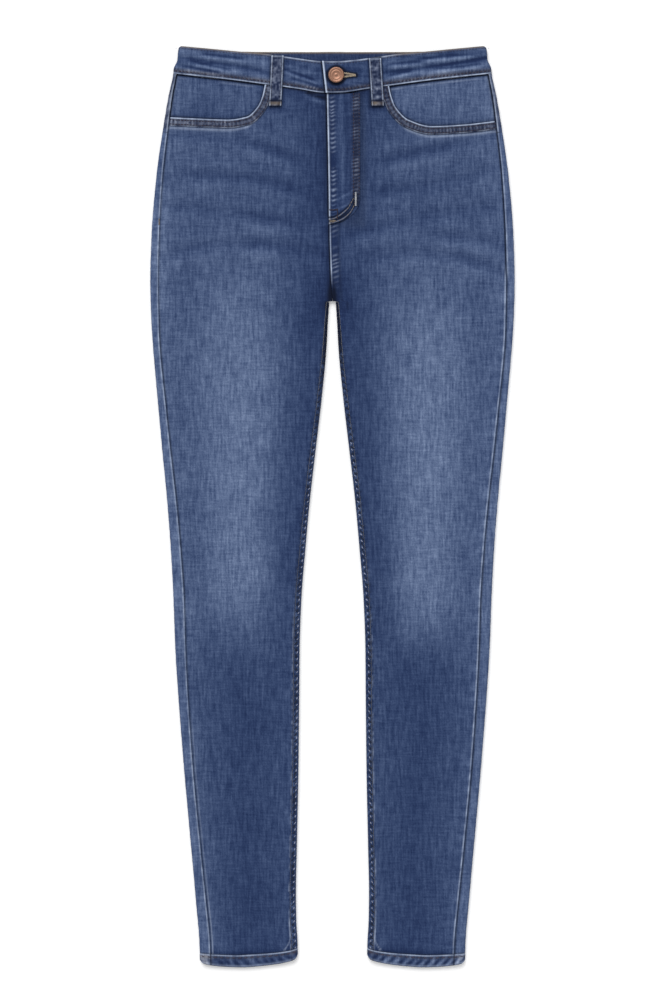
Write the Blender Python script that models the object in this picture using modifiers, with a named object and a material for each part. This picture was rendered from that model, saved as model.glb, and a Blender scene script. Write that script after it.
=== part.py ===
# Skinny jeans laid flat on their back, front side up.
# X runs across the garment (the wearer's left is +X), Y runs up it (waist +Y),
# Z is height over the surface that it lies on. Sizes are in millimetres until
# a mesh is made. The origin is on that surface, at the middle of the length.

import bpy
from collections import namedtuple
from math import cos, exp, hypot, pi, sin

MM = 0.001

# Cloth
GAP = 0.3                 # between two pieces that touch
DENIM = 1.2               # one layer of stretch denim
BAND_WALL = 1.8           # the waistband and hems, folded double
STRIP_WALL = 1.0          # belt loops, pocket edges and patch pockets
FOLD = 3.0                # radius where a leg turns over at its sides
CROTCH_FOLD = 2.3         # the same, where the inner fold starts
SIDE_SLACK = 15.0         # how far in from a fold the layers settle
ARC_STEPS = 4

# Heights along the garment
CROTCH = 220.8
CROTCH_HALF_WIDTH = 3.4
CROTCH_STEP = 1.0         # half the length in which the panels part there
FLY_BOTTOM = 303.4
ZIP_BOTTOM = 312.0
ZIP_TOP = 443.4
LOWER_ZONE = -445.0       # below this the rows bend to the hem's curve
UPPER_ZONE = 380.0        # above this they bend to the pocket and waist seams

# Waist
BAND_TOP = 6.0            # height of the front band's face
LAP_RAISE = BAND_WALL + GAP
LAP_FLAT = 14.0           # the lap is level as far as this, then comes down
LAP_END = 37.0
UNDERLAP_END = 12.0
TOP_CORNER = 2.0

# Back, which lies underneath
YOKE_CENTRE = 372.0
YOKE_SIDE = 404.0
YOKE_SIDE_X = 190.0
POCKET_TOP = 364.0
POCKET_BOTTOM = 228.0
POCKET_CORNER = 250.0
POCKET_INNER = 25.0
POCKET_OUTER = 151.0
POCKET_TAPER = 7.0
UNDER_RAISE = STRIP_WALL + GAP
RAISE_RUN = 9.0           # length over which a layer climbs onto another

UNDER_WIDTH = 190.0
UNDER_SHARES = [(POCKET_INNER - RAISE_RUN) / UNDER_WIDTH, POCKET_INNER / UNDER_WIDTH, 0.34, 0.57,
                POCKET_OUTER / UNDER_WIDTH, (POCKET_OUTER + RAISE_RUN) / UNDER_WIDTH]

# Small pieces
EDGE_WIDTH = 9.2          # bound edge of the pocket mouth
FACING_TUCK = 12.0        # how far the facing runs on under the front
LOOP_WIDTH = 13.2
LOOP_OVER_PANEL = 1.6
LOOP_BELOW = 430.5
BACK_LOOP_X = 100.0
BACK_LOOP_BELOW = 434.0
BUTTON_X = 4.0
BUTTON_Y = 463.2
BUTTON_RADIUS = 8.6

Side = namedtuple("Side", "y edge strip")
Level = namedtuple("Level", "y top")
Line = namedtuple("Line", "x y")
Crease = namedtuple("Crease", "x0 y0 x1 y1 bow width depth")
Path = namedtuple("Path", "y x")

# Outer silhouette, and how much of the back panel shows outside the outseam
OUTER = [
    Side(-496.0, 142.6, 12.0),
    Side(-471.4, 143.1, 11.8),
    Side(-423.0, 147.1, 11.3),
    Side(-369.3, 151.9, 10.6),
    Side(-288.6, 159.2, 10.2),
    Side(-208.0, 165.6, 10.8),
    Side(-154.3, 169.1, 11.5),
    Side(-100.5, 171.1, 11.8),
    Side(-46.8, 173.9, 11.0),
    Side(7.0, 178.0, 10.2),
    Side(60.7, 183.2, 9.3),
    Side(114.5, 188.1, 8.5),
    Side(168.2, 192.8, 7.8),
    Side(200.5, 195.0, 8.6),
    Side(243.5, 196.1, 9.1),
    Side(291.9, 194.7, 8.7),
    Side(356.4, 189.4, 7.2),
    Side(404.7, 182.6, 5.8),
    Side(442.4, 176.2, 4.4),
    Side(465.0, 171.4, 3.8),
    Side(471.0, 170.8, 3.8),
    Side(480.0, 166.9, 3.8),
    Side(487.0, 166.4, 3.8),
    Side(496.0, 165.2, 3.8),
]

# Inner silhouette of a leg, and the strip of back panel inside the inseam
INNER = [
    Side(-496.0, 37.2, 6.2),
    Side(-471.4, 37.5, 6.2),
    Side(-445.0, 38.9, 6.2),
    Side(-415.0, 39.3, 6.2),
    Side(-369.3, 38.4, 6.2),
    Side(-288.6, 36.7, 6.2),
    Side(-208.0, 35.8, 6.2),
    Side(-154.3, 35.4, 6.2),
    Side(-100.5, 33.5, 6.1),
    Side(-46.8, 29.2, 5.9),
    Side(7.0, 24.3, 5.6),
    Side(60.7, 18.1, 5.2),
    Side(114.5, 11.8, 4.7),
    Side(168.2, 6.6, 4.0),
    Side(200.5, 4.8, 3.3),
    Side(CROTCH, CROTCH_HALF_WIDTH, 2.9),
]

# Height of the front's face where the layers have settled
SETTLED = [
    Level(-496.0, 4.8),
    Level(-478.0, 4.7),
    Level(-452.0, 3.5),
    Level(120.0, 3.5),
    Level(CROTCH, 4.5),
    Level(400.0, 4.8),
    Level(424.0, 5.4),
    Level(470.0, 5.5),
]

# Creases across the hips: a trough from one end to the other, bowed at its middle
HIP_CREASES = [
    Crease(-172.0, 402.0, -35.0, 372.5, 7.6, 6.0, 0.35),
    Crease(-153.0, 356.4, -35.0, 340.2, 5.7, 6.0, 0.40),
    Crease(-183.0, 325.4, -40.0, 305.8, 1.0, 6.5, 0.40),
    Crease(-183.0, 270.0, -8.0, 270.0, 13.5, 7.0, 0.45),
    Crease(51.0, 372.5, 175.0, 399.4, 0.0, 6.0, 0.35),
    Crease(48.0, 340.0, 177.0, 367.0, -6.0, 6.0, 0.40),
    Crease(15.6, 291.9, 180.0, 324.0, 4.0, 7.0, 0.45),
    Crease(115.6, 291.9, 182.0, 284.3, 0.0, 6.0, 0.35),
    Crease(40.0, 268.0, 182.0, 252.0, 12.6, 7.0, 0.45),
]
BAND_CREASES = [
    Crease(-171.0, 483.6, -74.0, 467.8, 0.5, 3.4, 0.8),
    Crease(56.0, 466.5, 171.0, 483.0, -1.0, 3.4, 0.7),
]

# Lines across the garment, by distance from the centre
WAIST_SEAM = [
    Line(0.0, 444.3),
    Line(10.0, 444.6),
    Line(37.0, 448.8),
    Line(57.0, 451.6),
    Line(112.0, 458.9),
    Line(171.4, 465.3),
]
BAND_FRONT_EDGE = [
    Line(0.0, 478.3),
    Line(10.0, 478.6),
    Line(41.0, 482.3),
    Line(69.0, 486.2),
    Line(98.0, 488.8),
    Line(130.0, 491.9),
    Line(166.0, 495.2),
]
BAND_BACK_EDGE = [
    Line(0.0, 488.9),
    Line(98.0, 489.2),
    Line(130.0, 492.0),
    Line(166.0, 495.3),
]
BACK_SEAM = [
    Line(0.0, 455.0),
    Line(100.0, 459.2),
    Line(171.4, 465.3),
]
BAND_JOIN = [
    Path(455.0, 160.5),
    Path(496.0, 153.0),
]
HEM_SEAM = [
    Line(37.0, -474.5),
    Line(46.0, -477.2),
    Line(63.0, -479.8),
    Line(87.0, -481.6),
    Line(102.0, -482.3),
    Line(128.0, -481.4),
    Line(143.0, -480.2),
]
HEM_EDGE = [
    Line(37.0, -484.2),
    Line(40.0, -486.6),
    Line(46.0, -489.0),
    Line(60.0, -492.0),
    Line(80.0, -494.4),
    Line(97.0, -495.5),
    Line(115.0, -494.9),
    Line(131.0, -493.2),
    Line(143.0, -490.6),
]

# Pocket mouths, from the waistband round to the outseam
POCKET_MOUTH = {
    1: [
        Line(61.2, 451.9),
        Line(63.8, 440.5),
        Line(68.6, 429.0),
        Line(82.0, 416.0),
        Line(107.0, 409.2),
        Line(142.0, 411.0),
        Line(174.0, 414.5),
    ],
    -1: [
        Line(73.0, 453.7),
        Line(76.0, 440.5),
        Line(81.0, 429.5),
        Line(92.5, 419.2),
        Line(112.0, 416.2),
        Line(147.0, 417.4),
        Line(174.0, 418.6),
    ],
}

# Centre front
CENTRE_SEAM = [
    Path(CROTCH, 0.0),
    Path(247.0, -1.9),
    Path(FLY_BOTTOM, -3.4),
    Path(452.0, -3.4),
]
FLY_FREE_EDGE = [
    Path(302.0, -3.9),
    Path(321.0, -4.0),
    Path(362.0, -4.5),
    Path(446.0, -6.2),
]
FLY_STITCHED_EDGE = [
    Path(303.2, -1.0),
    Path(305.8, 9.1),
    Path(310.0, 16.5),
    Path(316.0, 23.5),
    Path(324.0, 28.2),
    Path(334.0, 29.8),
    Path(446.0, 29.8),
]
ZIP_HALF_WIDTH = 3.5
LAP_EDGE = [
    Path(440.0, -6.8),
    Path(482.0, -11.6),
]

# The front belt loops lean a little: middle of the top end and of the bottom end
FRONT_LOOPS = {
    "left": (Line(45.7, 481.6), Line(48.8, LOOP_BELOW)),
    "right": (Line(-59.0, 484.6), Line(-61.5, LOOP_BELOW)),
}
BACK_LOOPS = {"left": BACK_LOOP_X, "centre": 0.0, "right": -BACK_LOOP_X}

# Rows of the panels
LEG_ROWS = [-482.0, -466.0, -445.0, -415.0, -380.0, -345.0, -305.0, -265.0, -225.0,
            -185.0, -145.0, -105.0, -65.0, -25.0, 15.0, 50.0, 85.0, 120.0, 150.0, 178.0, 200.0]
HIP_ROWS = [231.0, 243.0, 255.0, 265.0, 275.0, 285.0, 294.0, FLY_BOTTOM, ZIP_BOTTOM - 0.6, 321.0, 331.0,
            340.0, 349.0, 359.0, 369.0, 380.0]
POCKET_ROWS = [389.0, 398.0, 407.0, 416.0, 430.0, 452.0]

SIDES = {"left": 1, "right": -1}
BLUE = (0.060, 0.112, 0.245)
PALE_BLUE = (0.100, 0.165, 0.310)
EDGE_BLUE = (0.090, 0.105, 0.150)
COPPER = (0.560, 0.300, 0.215)
TAPE = (0.050, 0.060, 0.100)


# Tables and curves

def slopes(spots, values):
    """Slopes of a curve through the points that turns only where they do."""
    steps = [(values[i + 1] - values[i]) / (spots[i + 1] - spots[i]) for i in range(len(spots) - 1)]
    inner = []
    for before, after in zip(steps, steps[1:]):
        level = before * after <= 0
        inner.append(0.0 if level else 2 * before * after / (before + after))
    return [steps[0]] + inner + [steps[-1]]


def follow(table, column, place):
    """A column's value at a place given in the units of the table's first column."""
    spots = [row[0] for row in table]
    values = [getattr(row, column) for row in table]
    if place <= spots[0]:
        return values[0]
    if place >= spots[-1]:
        return values[-1]
    i = max(k for k in range(len(spots) - 1) if spots[k] <= place)
    run = spots[i + 1] - spots[i]
    t = (place - spots[i]) / run
    tangents = slopes(spots, values)
    start = (1 + 2 * t) * (1 - t) ** 2 * values[i] + t * (1 - t) ** 2 * run * tangents[i]
    end = t * t * (3 - 2 * t) * values[i + 1] + t * t * (t - 1) * run * tangents[i + 1]
    return start + end


def ease(t):
    t = min(max(t, 0.0), 1.0)
    return t * t * (3 - 2 * t)


def spread(first, last, steps):
    return [first + (last - first) * i / steps for i in range(steps + 1)]


def trough(crease, x, y):
    """Depth of a crease at a point."""
    t = (x - crease.x0) / (crease.x1 - crease.x0)
    if t < -0.15 or t > 1.15:
        return 0.0
    middle = crease.y0 + (crease.y1 - crease.y0) * t + crease.bow * 4 * t * (1 - t)
    fade = ease((t + 0.15) / 0.3) * ease((1.15 - t) / 0.3)
    return crease.depth * fade * exp(-((y - middle) / crease.width) ** 2)


# The lie of the cloth

def outer_edge(y):
    return follow(OUTER, "edge", y)


def inner_edge(y):
    return follow(INNER, "edge", y)


def inner_fold(y):
    """Radius of the inner fold: it opens out below the crotch."""
    return CROTCH_FOLD + (FOLD - CROTCH_FOLD) * ease((CROTCH - y) / 70.0)


def face_height(x, y):
    """Height of the outer face of the fronts, and of the strips beside them."""
    settled = follow(SETTLED, "top", y)
    outside = max(outer_edge(y) - abs(x) - FOLD, 0.0)
    height = settled + (2 * FOLD - settled) * exp(-(outside / SIDE_SLACK) ** 2)
    if y < CROTCH:
        fold = inner_fold(y)
        inside = max(abs(x) - inner_edge(y) - fold, 0.0)
        height += (2 * fold - settled) * exp(-(inside / SIDE_SLACK) ** 2)
    return height - sum(trough(crease, x, y) for crease in HIP_CREASES)


def band_height(x, y, side):
    """Height of the front waistband's face; the wearer's left half laps over."""
    outside = max(outer_edge(y) - abs(x) - FOLD, 0.0)
    height = BAND_TOP + (2 * FOLD - BAND_TOP) * exp(-(outside / SIDE_SLACK) ** 2)
    height -= sum(trough(crease, x, y) for crease in BAND_CREASES)
    if side > 0:
        height += LAP_RAISE * ease((LAP_END - x) / (LAP_END - LAP_FLAT))
    return height


def loop_raise(x, y):
    """How far the back is lifted where it lies on its belt loops."""
    beside = min(abs(abs(x) - BACK_LOOP_X), abs(x)) - LOOP_WIDTH / 2
    below = BACK_LOOP_BELOW - y
    return UNDER_RAISE * ease(1.1 - max(beside, below, 0.0) / RAISE_RUN)


def pocket_raise(x, y):
    """How far the back panel is lifted where it lies on its patch pocket."""
    across = max(POCKET_INNER - abs(x), abs(x) - POCKET_OUTER, 0.0)
    along = max(POCKET_BOTTOM - y, y - POCKET_TOP, 0.0)
    return UNDER_RAISE if max(across, along) < 0.6 else 0.0


def yoke_seam(x):
    return YOKE_CENTRE + (YOKE_SIDE - YOKE_CENTRE) * min(abs(x) / YOKE_SIDE_X, 1.0)


def fit_row(nominal, x, bottom, top):
    """Where a nominal row crosses a line at x, bent to the edges above and below."""
    if nominal > UPPER_ZONE and top is not None:
        share = (nominal - UPPER_ZONE) / (POCKET_ROWS[-1] - UPPER_ZONE)
        return UPPER_ZONE + share * (top(abs(x)) - UPPER_ZONE)
    if nominal < LOWER_ZONE and bottom is not None:
        share = (LOWER_ZONE - nominal) / (LOWER_ZONE - LEG_ROWS[0])
        return LOWER_ZONE + share * (bottom(abs(x)) - LOWER_ZONE)
    return nominal


# Meshes

def material(name, colour, roughness=0.85, metallic=0.0):
    finish = bpy.data.materials.get(name)
    if finish is None:
        finish = bpy.data.materials.new(name)
        finish.use_nodes = True
        shader = finish.node_tree.nodes["Principled BSDF"]
        shader.inputs["Base Color"].default_value = (*colour, 1.0)
        shader.inputs["Roughness"].default_value = roughness
        shader.inputs["Metallic"].default_value = metallic
    return finish


def add_object(name, mesh, finish):
    piece = bpy.data.objects.new(name, mesh)
    piece.data.materials.append(finish)
    bpy.data.collections["skinny_jeans"].objects.link(piece)
    return piece


def cloth(name, rows, wall, finish, facing_up=True, ring=False):
    """A sheet lofted through rows of points, thickened inwards from its outer face.
    A place in a row may be None where the sheet hasn't started yet."""
    points = []
    numbers = []
    for row in rows:
        numbers.append([])
        for point in row:
            numbers[-1].append(None if point is None else len(points))
            if point is not None:
                points.append([value * MM for value in point])
    faces = []
    for low, high in zip(numbers, numbers[1:]):
        count = len(low) if ring else len(low) - 1
        for i in range(count):
            j = (i + 1) % len(low)
            corners = [low[i], low[j], high[j], high[i]]
            if None not in corners:
                faces.append(corners if facing_up else corners[::-1])
    mesh = bpy.data.meshes.new(name)
    mesh.from_pydata(points, [], faces)
    mesh.shade_smooth()
    piece = add_object(name, mesh, finish)
    wall_modifier = piece.modifiers.new("Wall", "SOLIDIFY")
    wall_modifier.thickness = wall * MM
    wall_modifier.offset = -1.0
    wall_modifier.use_even_offset = True
    return piece


def arc(centre_x, centre_z, radius, start, end):
    """Points of a fold in a section, as (x, z)."""
    return [(centre_x + radius * cos(angle), centre_z + radius * sin(angle))
            for angle in spread(start, end, ARC_STEPS)]


# Panels

def front_columns(side):
    """Where the front's columns cross, as shares of its width: they meet the mouth's points."""
    width = outer_edge(420.0) - follow(OUTER, "strip", 420.0)
    mouth = [point.x / width for point in POCKET_MOUTH[side][:-1]]
    inner = [mouth[0] * share for share in (0.0, 0.27, 0.62)]
    return inner + mouth + [1.0]


def front_top(side):
    """Upper edge of a front: the waist seam, then the mouth of the pocket."""
    mouth = POCKET_MOUTH[side]

    def edge(x):
        if x <= mouth[0].x:
            return follow(WAIST_SEAM, "y", x) - 2 * GAP
        return min(follow(mouth, "y", x), follow(WAIST_SEAM, "y", x) - 2 * GAP)
    return edge


def front_start(side, y):
    """The front's own edge at the centre or the inseam, as a distance to its side."""
    if y < CROTCH:
        return inner_edge(y) + follow(INNER, "strip", y) + GAP / 2
    start = follow(CENTRE_SEAM, "x", y) * side + GAP / 2
    if side > 0 and y > FLY_BOTTOM:
        start += 2 * (ZIP_HALF_WIDTH + GAP) * ease((y - FLY_BOTTOM) / (ZIP_BOTTOM - FLY_BOTTOM - 2 * GAP))
    return start


def front_panel(name, side):
    top = front_top(side)
    hem_top = lambda x: follow(HEM_SEAM, "y", x) + GAP
    nominal_rows = LEG_ROWS + [CROTCH - CROTCH_STEP, CROTCH + CROTCH_STEP] + HIP_ROWS + POCKET_ROWS
    rows = []
    for nominal in nominal_rows:
        row = []
        for share in front_columns(side):
            y = nominal
            for _ in range(4):
                start = front_start(side, y)
                end = outer_edge(y) - follow(OUTER, "strip", y) - GAP / 2
                x = start + share * (end - start)
                y = fit_row(nominal, x, hem_top, top)
            row.append((side * x, y, face_height(side * x, y)))
        rows.append(row)
    return cloth(name, rows, DENIM, material("denim", BLUE), facing_up=side > 0)


def under_section(side, y, inner_start, columns, lift):
    """Section of a back piece at a height: the inseam strip, the inner fold, the underside,
    the outer fold and the outseam strip, as (x, z) with x towards the side."""
    below_crotch = y < CROTCH
    section = []
    if below_crotch:
        fold = inner_fold(y)
        edge = inner_edge(y)
        strip_end = edge + follow(INNER, "strip", y) - GAP / 2
        section.append((strip_end, face_height(side * strip_end, y)))
        section += arc(edge + fold, fold, fold, pi / 2, 3 * pi / 2)
        flat_start = edge + fold
    else:
        section += [None] * (ARC_STEPS + 1)
        flat_start = None
    flat_end = outer_edge(y) - FOLD
    if not below_crotch:
        section.append((inner_start, lift(inner_start, y)))
        flat_start = inner_start
    for column in columns:
        x = column if y > CROTCH - 20.0 else flat_start + (flat_end - flat_start) * column / UNDER_WIDTH
        section.append((x, lift(x, y)))
    section += arc(flat_end, FOLD, FOLD, -pi / 2, pi / 2)
    strip_end = outer_edge(y) - follow(OUTER, "strip", y) + GAP / 2
    section.append((strip_end, face_height(side * strip_end, y)))
    return section


def back_rows(side, nominal_rows, columns, lift, bottom, top, runs):
    """Rows of a back piece, bent to the lines that bound it below and above."""
    rows = []
    for nominal in nominal_rows:
        base = under_section(side, nominal, GAP / 2, columns, lift)
        row = []
        for i, spot in enumerate(base):
            if spot is None:
                row.append(None)
                continue
            y = nominal
            x, z = spot
            for _ in range(3):
                y = fit_between(nominal, nominal_rows, x, bottom, top, runs)
                bent = under_section(side, y, GAP / 2, columns, lift)[i]
                x, z = bent if bent is not None else (x, z)
            row.append((side * x, y, z))
        rows.append(row)
    return rows


def fit_between(nominal, nominal_rows, x, bottom, top, runs):
    """The same row bent to the piece's own end lines, over a run at each end."""
    y = nominal
    low_end = nominal_rows[0]
    high_end = nominal_rows[-1]
    low_run, high_run = runs
    if nominal < low_end + low_run:
        share = 1 - (nominal - low_end) / low_run
        y += share * (bottom(x) - low_end)
    if nominal > high_end - high_run:
        share = 1 - (high_end - nominal) / high_run
        y += share * (top(x) - high_end)
    return y


def back_panel(name, side):
    columns = [UNDER_WIDTH * share for share in UNDER_SHARES]
    nominal_rows = LEG_ROWS[:-1] + [200.5, CROTCH - CROTCH_STEP]
    nominal_rows += [POCKET_BOTTOM - 0.5, 243.0, 255.0, 266.0, 277.0, 288.0, 300.0]
    nominal_rows += [314.0, 328.0, 340.0, 352.0, POCKET_TOP + 0.5, YOKE_CENTRE + 8.0]
    rows = back_rows(side, nominal_rows, columns, pocket_raise,
                     lambda x: follow(HEM_SEAM, "y", x) + GAP, lambda x: yoke_seam(x) - GAP, (37.0, 15.0))
    return cloth(name, rows, DENIM, material("denim", BLUE), facing_up=side < 0)


def back_yoke(name, side):
    half = LOOP_WIDTH / 2
    columns = [half + 1.0, half + RAISE_RUN + 1.0, BACK_LOOP_X - half - RAISE_RUN - 1.0,
               BACK_LOOP_X - half - 1.0, BACK_LOOP_X + half + 1.0, BACK_LOOP_X + half + RAISE_RUN + 1.0]
    nominal_rows = [YOKE_CENTRE, 386.0, 400.0, 414.0, BACK_LOOP_BELOW - RAISE_RUN - 1.0,
                    BACK_LOOP_BELOW - 1.0, 444.0, 455.0]
    rows = back_rows(side, nominal_rows, columns, loop_raise,
                     yoke_seam, lambda x: follow(BACK_SEAM, "y", x) - GAP, (60.0, 20.0))
    return cloth(name, rows, DENIM, material("denim", BLUE), facing_up=side < 0)


def patch_pocket(name, side):
    """Flat patch with a pointed foot, lying on the surface."""
    middle = (POCKET_INNER + POCKET_OUTER) / 2
    outline = [
        (POCKET_INNER + 1.0, POCKET_TOP - 1.0),
        (POCKET_INNER + POCKET_TAPER, POCKET_CORNER),
        (middle, POCKET_BOTTOM + 1.0),
        (POCKET_OUTER - POCKET_TAPER, POCKET_CORNER),
        (POCKET_OUTER - 1.0, POCKET_TOP - 1.0),
    ]
    curve = bpy.data.curves.new(name, "CURVE")
    curve.dimensions = "2D"
    curve.fill_mode = "BOTH"
    curve.extrude = STRIP_WALL * MM / 2
    spline = curve.splines.new("POLY")
    spline.points.add(len(outline) - 1)
    for point, (x, y) in zip(spline.points, outline):
        point.co = (side * x * MM, y * MM, 0.0, 1.0)
    spline.use_cyclic_u = True
    piece = add_object(name, curve, material("denim", BLUE))
    piece.location.z = STRIP_WALL * MM / 2
    return piece


# Front pockets

def pocket_facing(name, side):
    """The cloth that shows inside the mouth; it runs on under the front and its edge."""
    mouth = POCKET_MOUTH[side]
    rows = []
    first = mouth[0].x - FACING_TUCK / 2
    places = [first] + [point.x for point in mouth[:-1]]
    for share in (0.0, 0.3, 0.55, 0.8, 1.0):
        row = []
        for place in places + [None]:
            x = place
            y = 0.0
            for _ in range(4):
                if place is None:
                    middle = y if y else 430.0
                    x = outer_edge(middle) - follow(OUTER, "strip", middle) - GAP
                high = follow(WAIST_SEAM, "y", x) - GAP
                low = min(follow(mouth, "y", x) - FACING_TUCK, high - FACING_TUCK)
                y = low + share * (high - low)
            row.append((side * x, y, face_height(side * x, y) - DENIM - GAP))
        rows.append(row)
    return cloth(name, rows, STRIP_WALL, material("denim", BLUE), facing_up=side > 0)


def mouth_points(side):
    """Points along a pocket mouth, with the direction into the front there."""
    mouth = POCKET_MOUTH[side]
    trace = []
    for a, b in zip(mouth, mouth[1:]):
        steps = 2 if a.x < 85.0 else 3
        for t in spread(0.0, 1.0, steps)[:-1]:
            x = a.x + (b.x - a.x) * t
            trace.append((x, min(follow(mouth, "y", x), follow(WAIST_SEAM, "y", x) - GAP)))
    end_x = outer_edge(mouth[-1].y) - follow(OUTER, "strip", mouth[-1].y) - GAP
    trace.append((end_x, follow(mouth, "y", end_x)))
    return trace


def pocket_edge(name, side):
    """Bound edge of the mouth, lying on the front."""
    trace = mouth_points(side)
    rows = []
    for share in (1.0, 0.5, 0.0):
        row = []
        for i, (x, y) in enumerate(trace):
            before = trace[max(i - 1, 0)]
            after = trace[min(i + 1, len(trace) - 1)]
            run = hypot(after[0] - before[0], after[1] - before[1])
            inward = ((after[1] - before[1]) / run, -(after[0] - before[0]) / run)
            offset = EDGE_WIDTH * share + GAP
            px = x + inward[0] * offset
            py = y + inward[1] * offset
            limit = outer_edge(py) - follow(OUTER, "strip", py) - GAP
            px = min(px, limit)
            py = min(py, follow(WAIST_SEAM, "y", px) - GAP - 0.02 * i)
            row.append((side * px, py, face_height(side * px, py) + GAP + STRIP_WALL))
        rows.append(row)
    return cloth(name, rows, STRIP_WALL, material("denim_edge", EDGE_BLUE), facing_up=side > 0)


# Centre front

def fly(name):
    heights = [303.2, 304.4, 305.8, 308.0, 310.5, 313.5, 317.0, 321.0, 326.0, 334.0,
               350.0, 366.0, 382.0, 398.0, 414.0, 429.0, 444.0]
    rows = []
    for nominal in heights:
        row = []
        for share in spread(0.0, 1.0, 5):
            left = follow(FLY_FREE_EDGE, "x", nominal)
            right = follow(FLY_STITCHED_EDGE, "x", nominal)
            x = left + share * (right - left)
            y = min(nominal, follow(WAIST_SEAM, "y", abs(x)) - GAP)
            row.append((x, y, face_height(x, y) + GAP + DENIM))
        rows.append(row)
    return cloth(name, rows, DENIM, material("denim", BLUE))


def zip_tape(name):
    rows = []
    for y in spread(ZIP_BOTTOM, ZIP_TOP, 10):
        centre = follow(CENTRE_SEAM, "x", y) + ZIP_HALF_WIDTH + GAP
        row = [(x, y, face_height(x, y)) for x in spread(centre - ZIP_HALF_WIDTH, centre + ZIP_HALF_WIDTH, 2)]
        rows.append(row)
    return cloth(name, rows, DENIM, material("zip_tape", TAPE))


# Waistband

def join_point(share):
    """Where the front band meets the back band underneath, from its seam to its top edge."""
    y = 475.0
    for _ in range(4):
        x = follow(BAND_JOIN, "x", y)
        low = follow(BACK_SEAM, "y", x)
        y = low + share * (follow(BAND_BACK_EDGE, "y", x) - low)
    return x, y


def front_band(name, side):
    """One half of the front band: over the front, round the side and a little way under."""
    shares = spread(0.0, 1.0, 7)
    steps = 15
    rows = []
    for share in shares:
        row = []
        for column in range(steps + 1):
            x = 0.0
            y = 470.0
            for _ in range(4):
                if side > 0:
                    start = follow(LAP_EDGE, "x", y)
                else:
                    start = -UNDERLAP_END
                end = outer_edge(y) - FOLD
                x = start + (end - start) * column / steps
                low = follow(WAIST_SEAM, "y", abs(x))
                high = follow(BAND_FRONT_EDGE, "y", abs(x))
                y = low + share * (high - low)
            row.append((side * x, y, band_height(side * x, y, side)))
        low = follow(WAIST_SEAM, "y", 171.0)
        high = follow(BAND_FRONT_EDGE, "y", 166.0)
        y = low + share * (high - low)
        turn = arc(outer_edge(y) - FOLD, FOLD, FOLD, pi / 2, -pi / 2)
        corner = TOP_CORNER * ease((y - high + 4.0) / 4.0)
        for x, z in turn[1:]:
            row.append((side * x, y - corner * (x - outer_edge(y) + FOLD) / FOLD, z))
        under, under_y = join_point(share)
        row.append((side * under, under_y, 0.0))
        rows.append(row)
    return cloth(name, rows, BAND_WALL, material("denim", BLUE), facing_up=side > 0)


def back_band(name):
    """The back band between the two front halves, arched over its belt loops."""
    half = LOOP_WIDTH / 2
    stops = [half + 1.0, half + RAISE_RUN + 1.0, 50.0, BACK_LOOP_X - half - RAISE_RUN - 1.0,
             BACK_LOOP_X - half - 1.0, BACK_LOOP_X + half + 1.0, BACK_LOOP_X + half + RAISE_RUN + 1.0, 138.0]
    rows = []
    for share in spread(0.0, 1.0, 4):
        end = join_point(share)[0] - GAP
        places = [-end] + [-stop for stop in stops[::-1]] + stops + [end]
        row = []
        for x in places:
            low = follow(BACK_SEAM, "y", abs(x))
            high = follow(BAND_BACK_EDGE, "y", abs(x))
            y = low + share * (high - low)
            row.append((x, y, loop_raise(x, y)))
        rows.append(row)
    return cloth(name, rows, BAND_WALL, material("denim", BLUE), facing_up=False)


def front_loop(name, side_name):
    """A belt loop lying down over the band's face and past its seam."""
    side = SIDES[side_name]
    upper, lower = FRONT_LOOPS[side_name]
    rows = []
    for y in spread(lower.y, upper.y, 10):
        t = (y - lower.y) / (upper.y - lower.y)
        middle = lower.x + (upper.x - lower.x) * t
        seam = follow(WAIST_SEAM, "y", abs(middle))
        share = ease((y - seam + 1.5) / 8.0)
        over_panel = max(face_height(middle + dx, min(y, seam)) for dx in (-6.0, 0.0, 6.0)) + LOOP_OVER_PANEL
        over_band = band_height(middle, max(y, seam), side) + GAP
        z = over_panel + (max(over_band, BAND_TOP + GAP) - over_panel) * share + STRIP_WALL
        if share > 0.99:
            z = max(z, BAND_TOP + GAP + STRIP_WALL)
        row = [(middle + across, y, z) for across in spread(-LOOP_WIDTH / 2, LOOP_WIDTH / 2, 2)]
        rows.append(row)
    return cloth(name, rows, STRIP_WALL, material("denim_loop", PALE_BLUE))


def back_loop(name, x):
    length = follow(BAND_BACK_EDGE, "y", abs(x)) - BACK_LOOP_BELOW
    bpy.ops.mesh.primitive_cube_add(size=1.0)
    piece = bpy.context.active_object
    piece.name = name
    piece.data.name = name
    for vertex in piece.data.vertices:
        vertex.co.x = vertex.co.x * LOOP_WIDTH * MM + x * MM
        vertex.co.y = vertex.co.y * length * MM + (BACK_LOOP_BELOW + length / 2) * MM
        vertex.co.z = (vertex.co.z + 0.5) * STRIP_WALL * MM
    piece.data.materials.append(material("denim_loop", PALE_BLUE))
    for collection in list(piece.users_collection):
        collection.objects.unlink(piece)
    bpy.data.collections["skinny_jeans"].objects.link(piece)
    return piece


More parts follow.
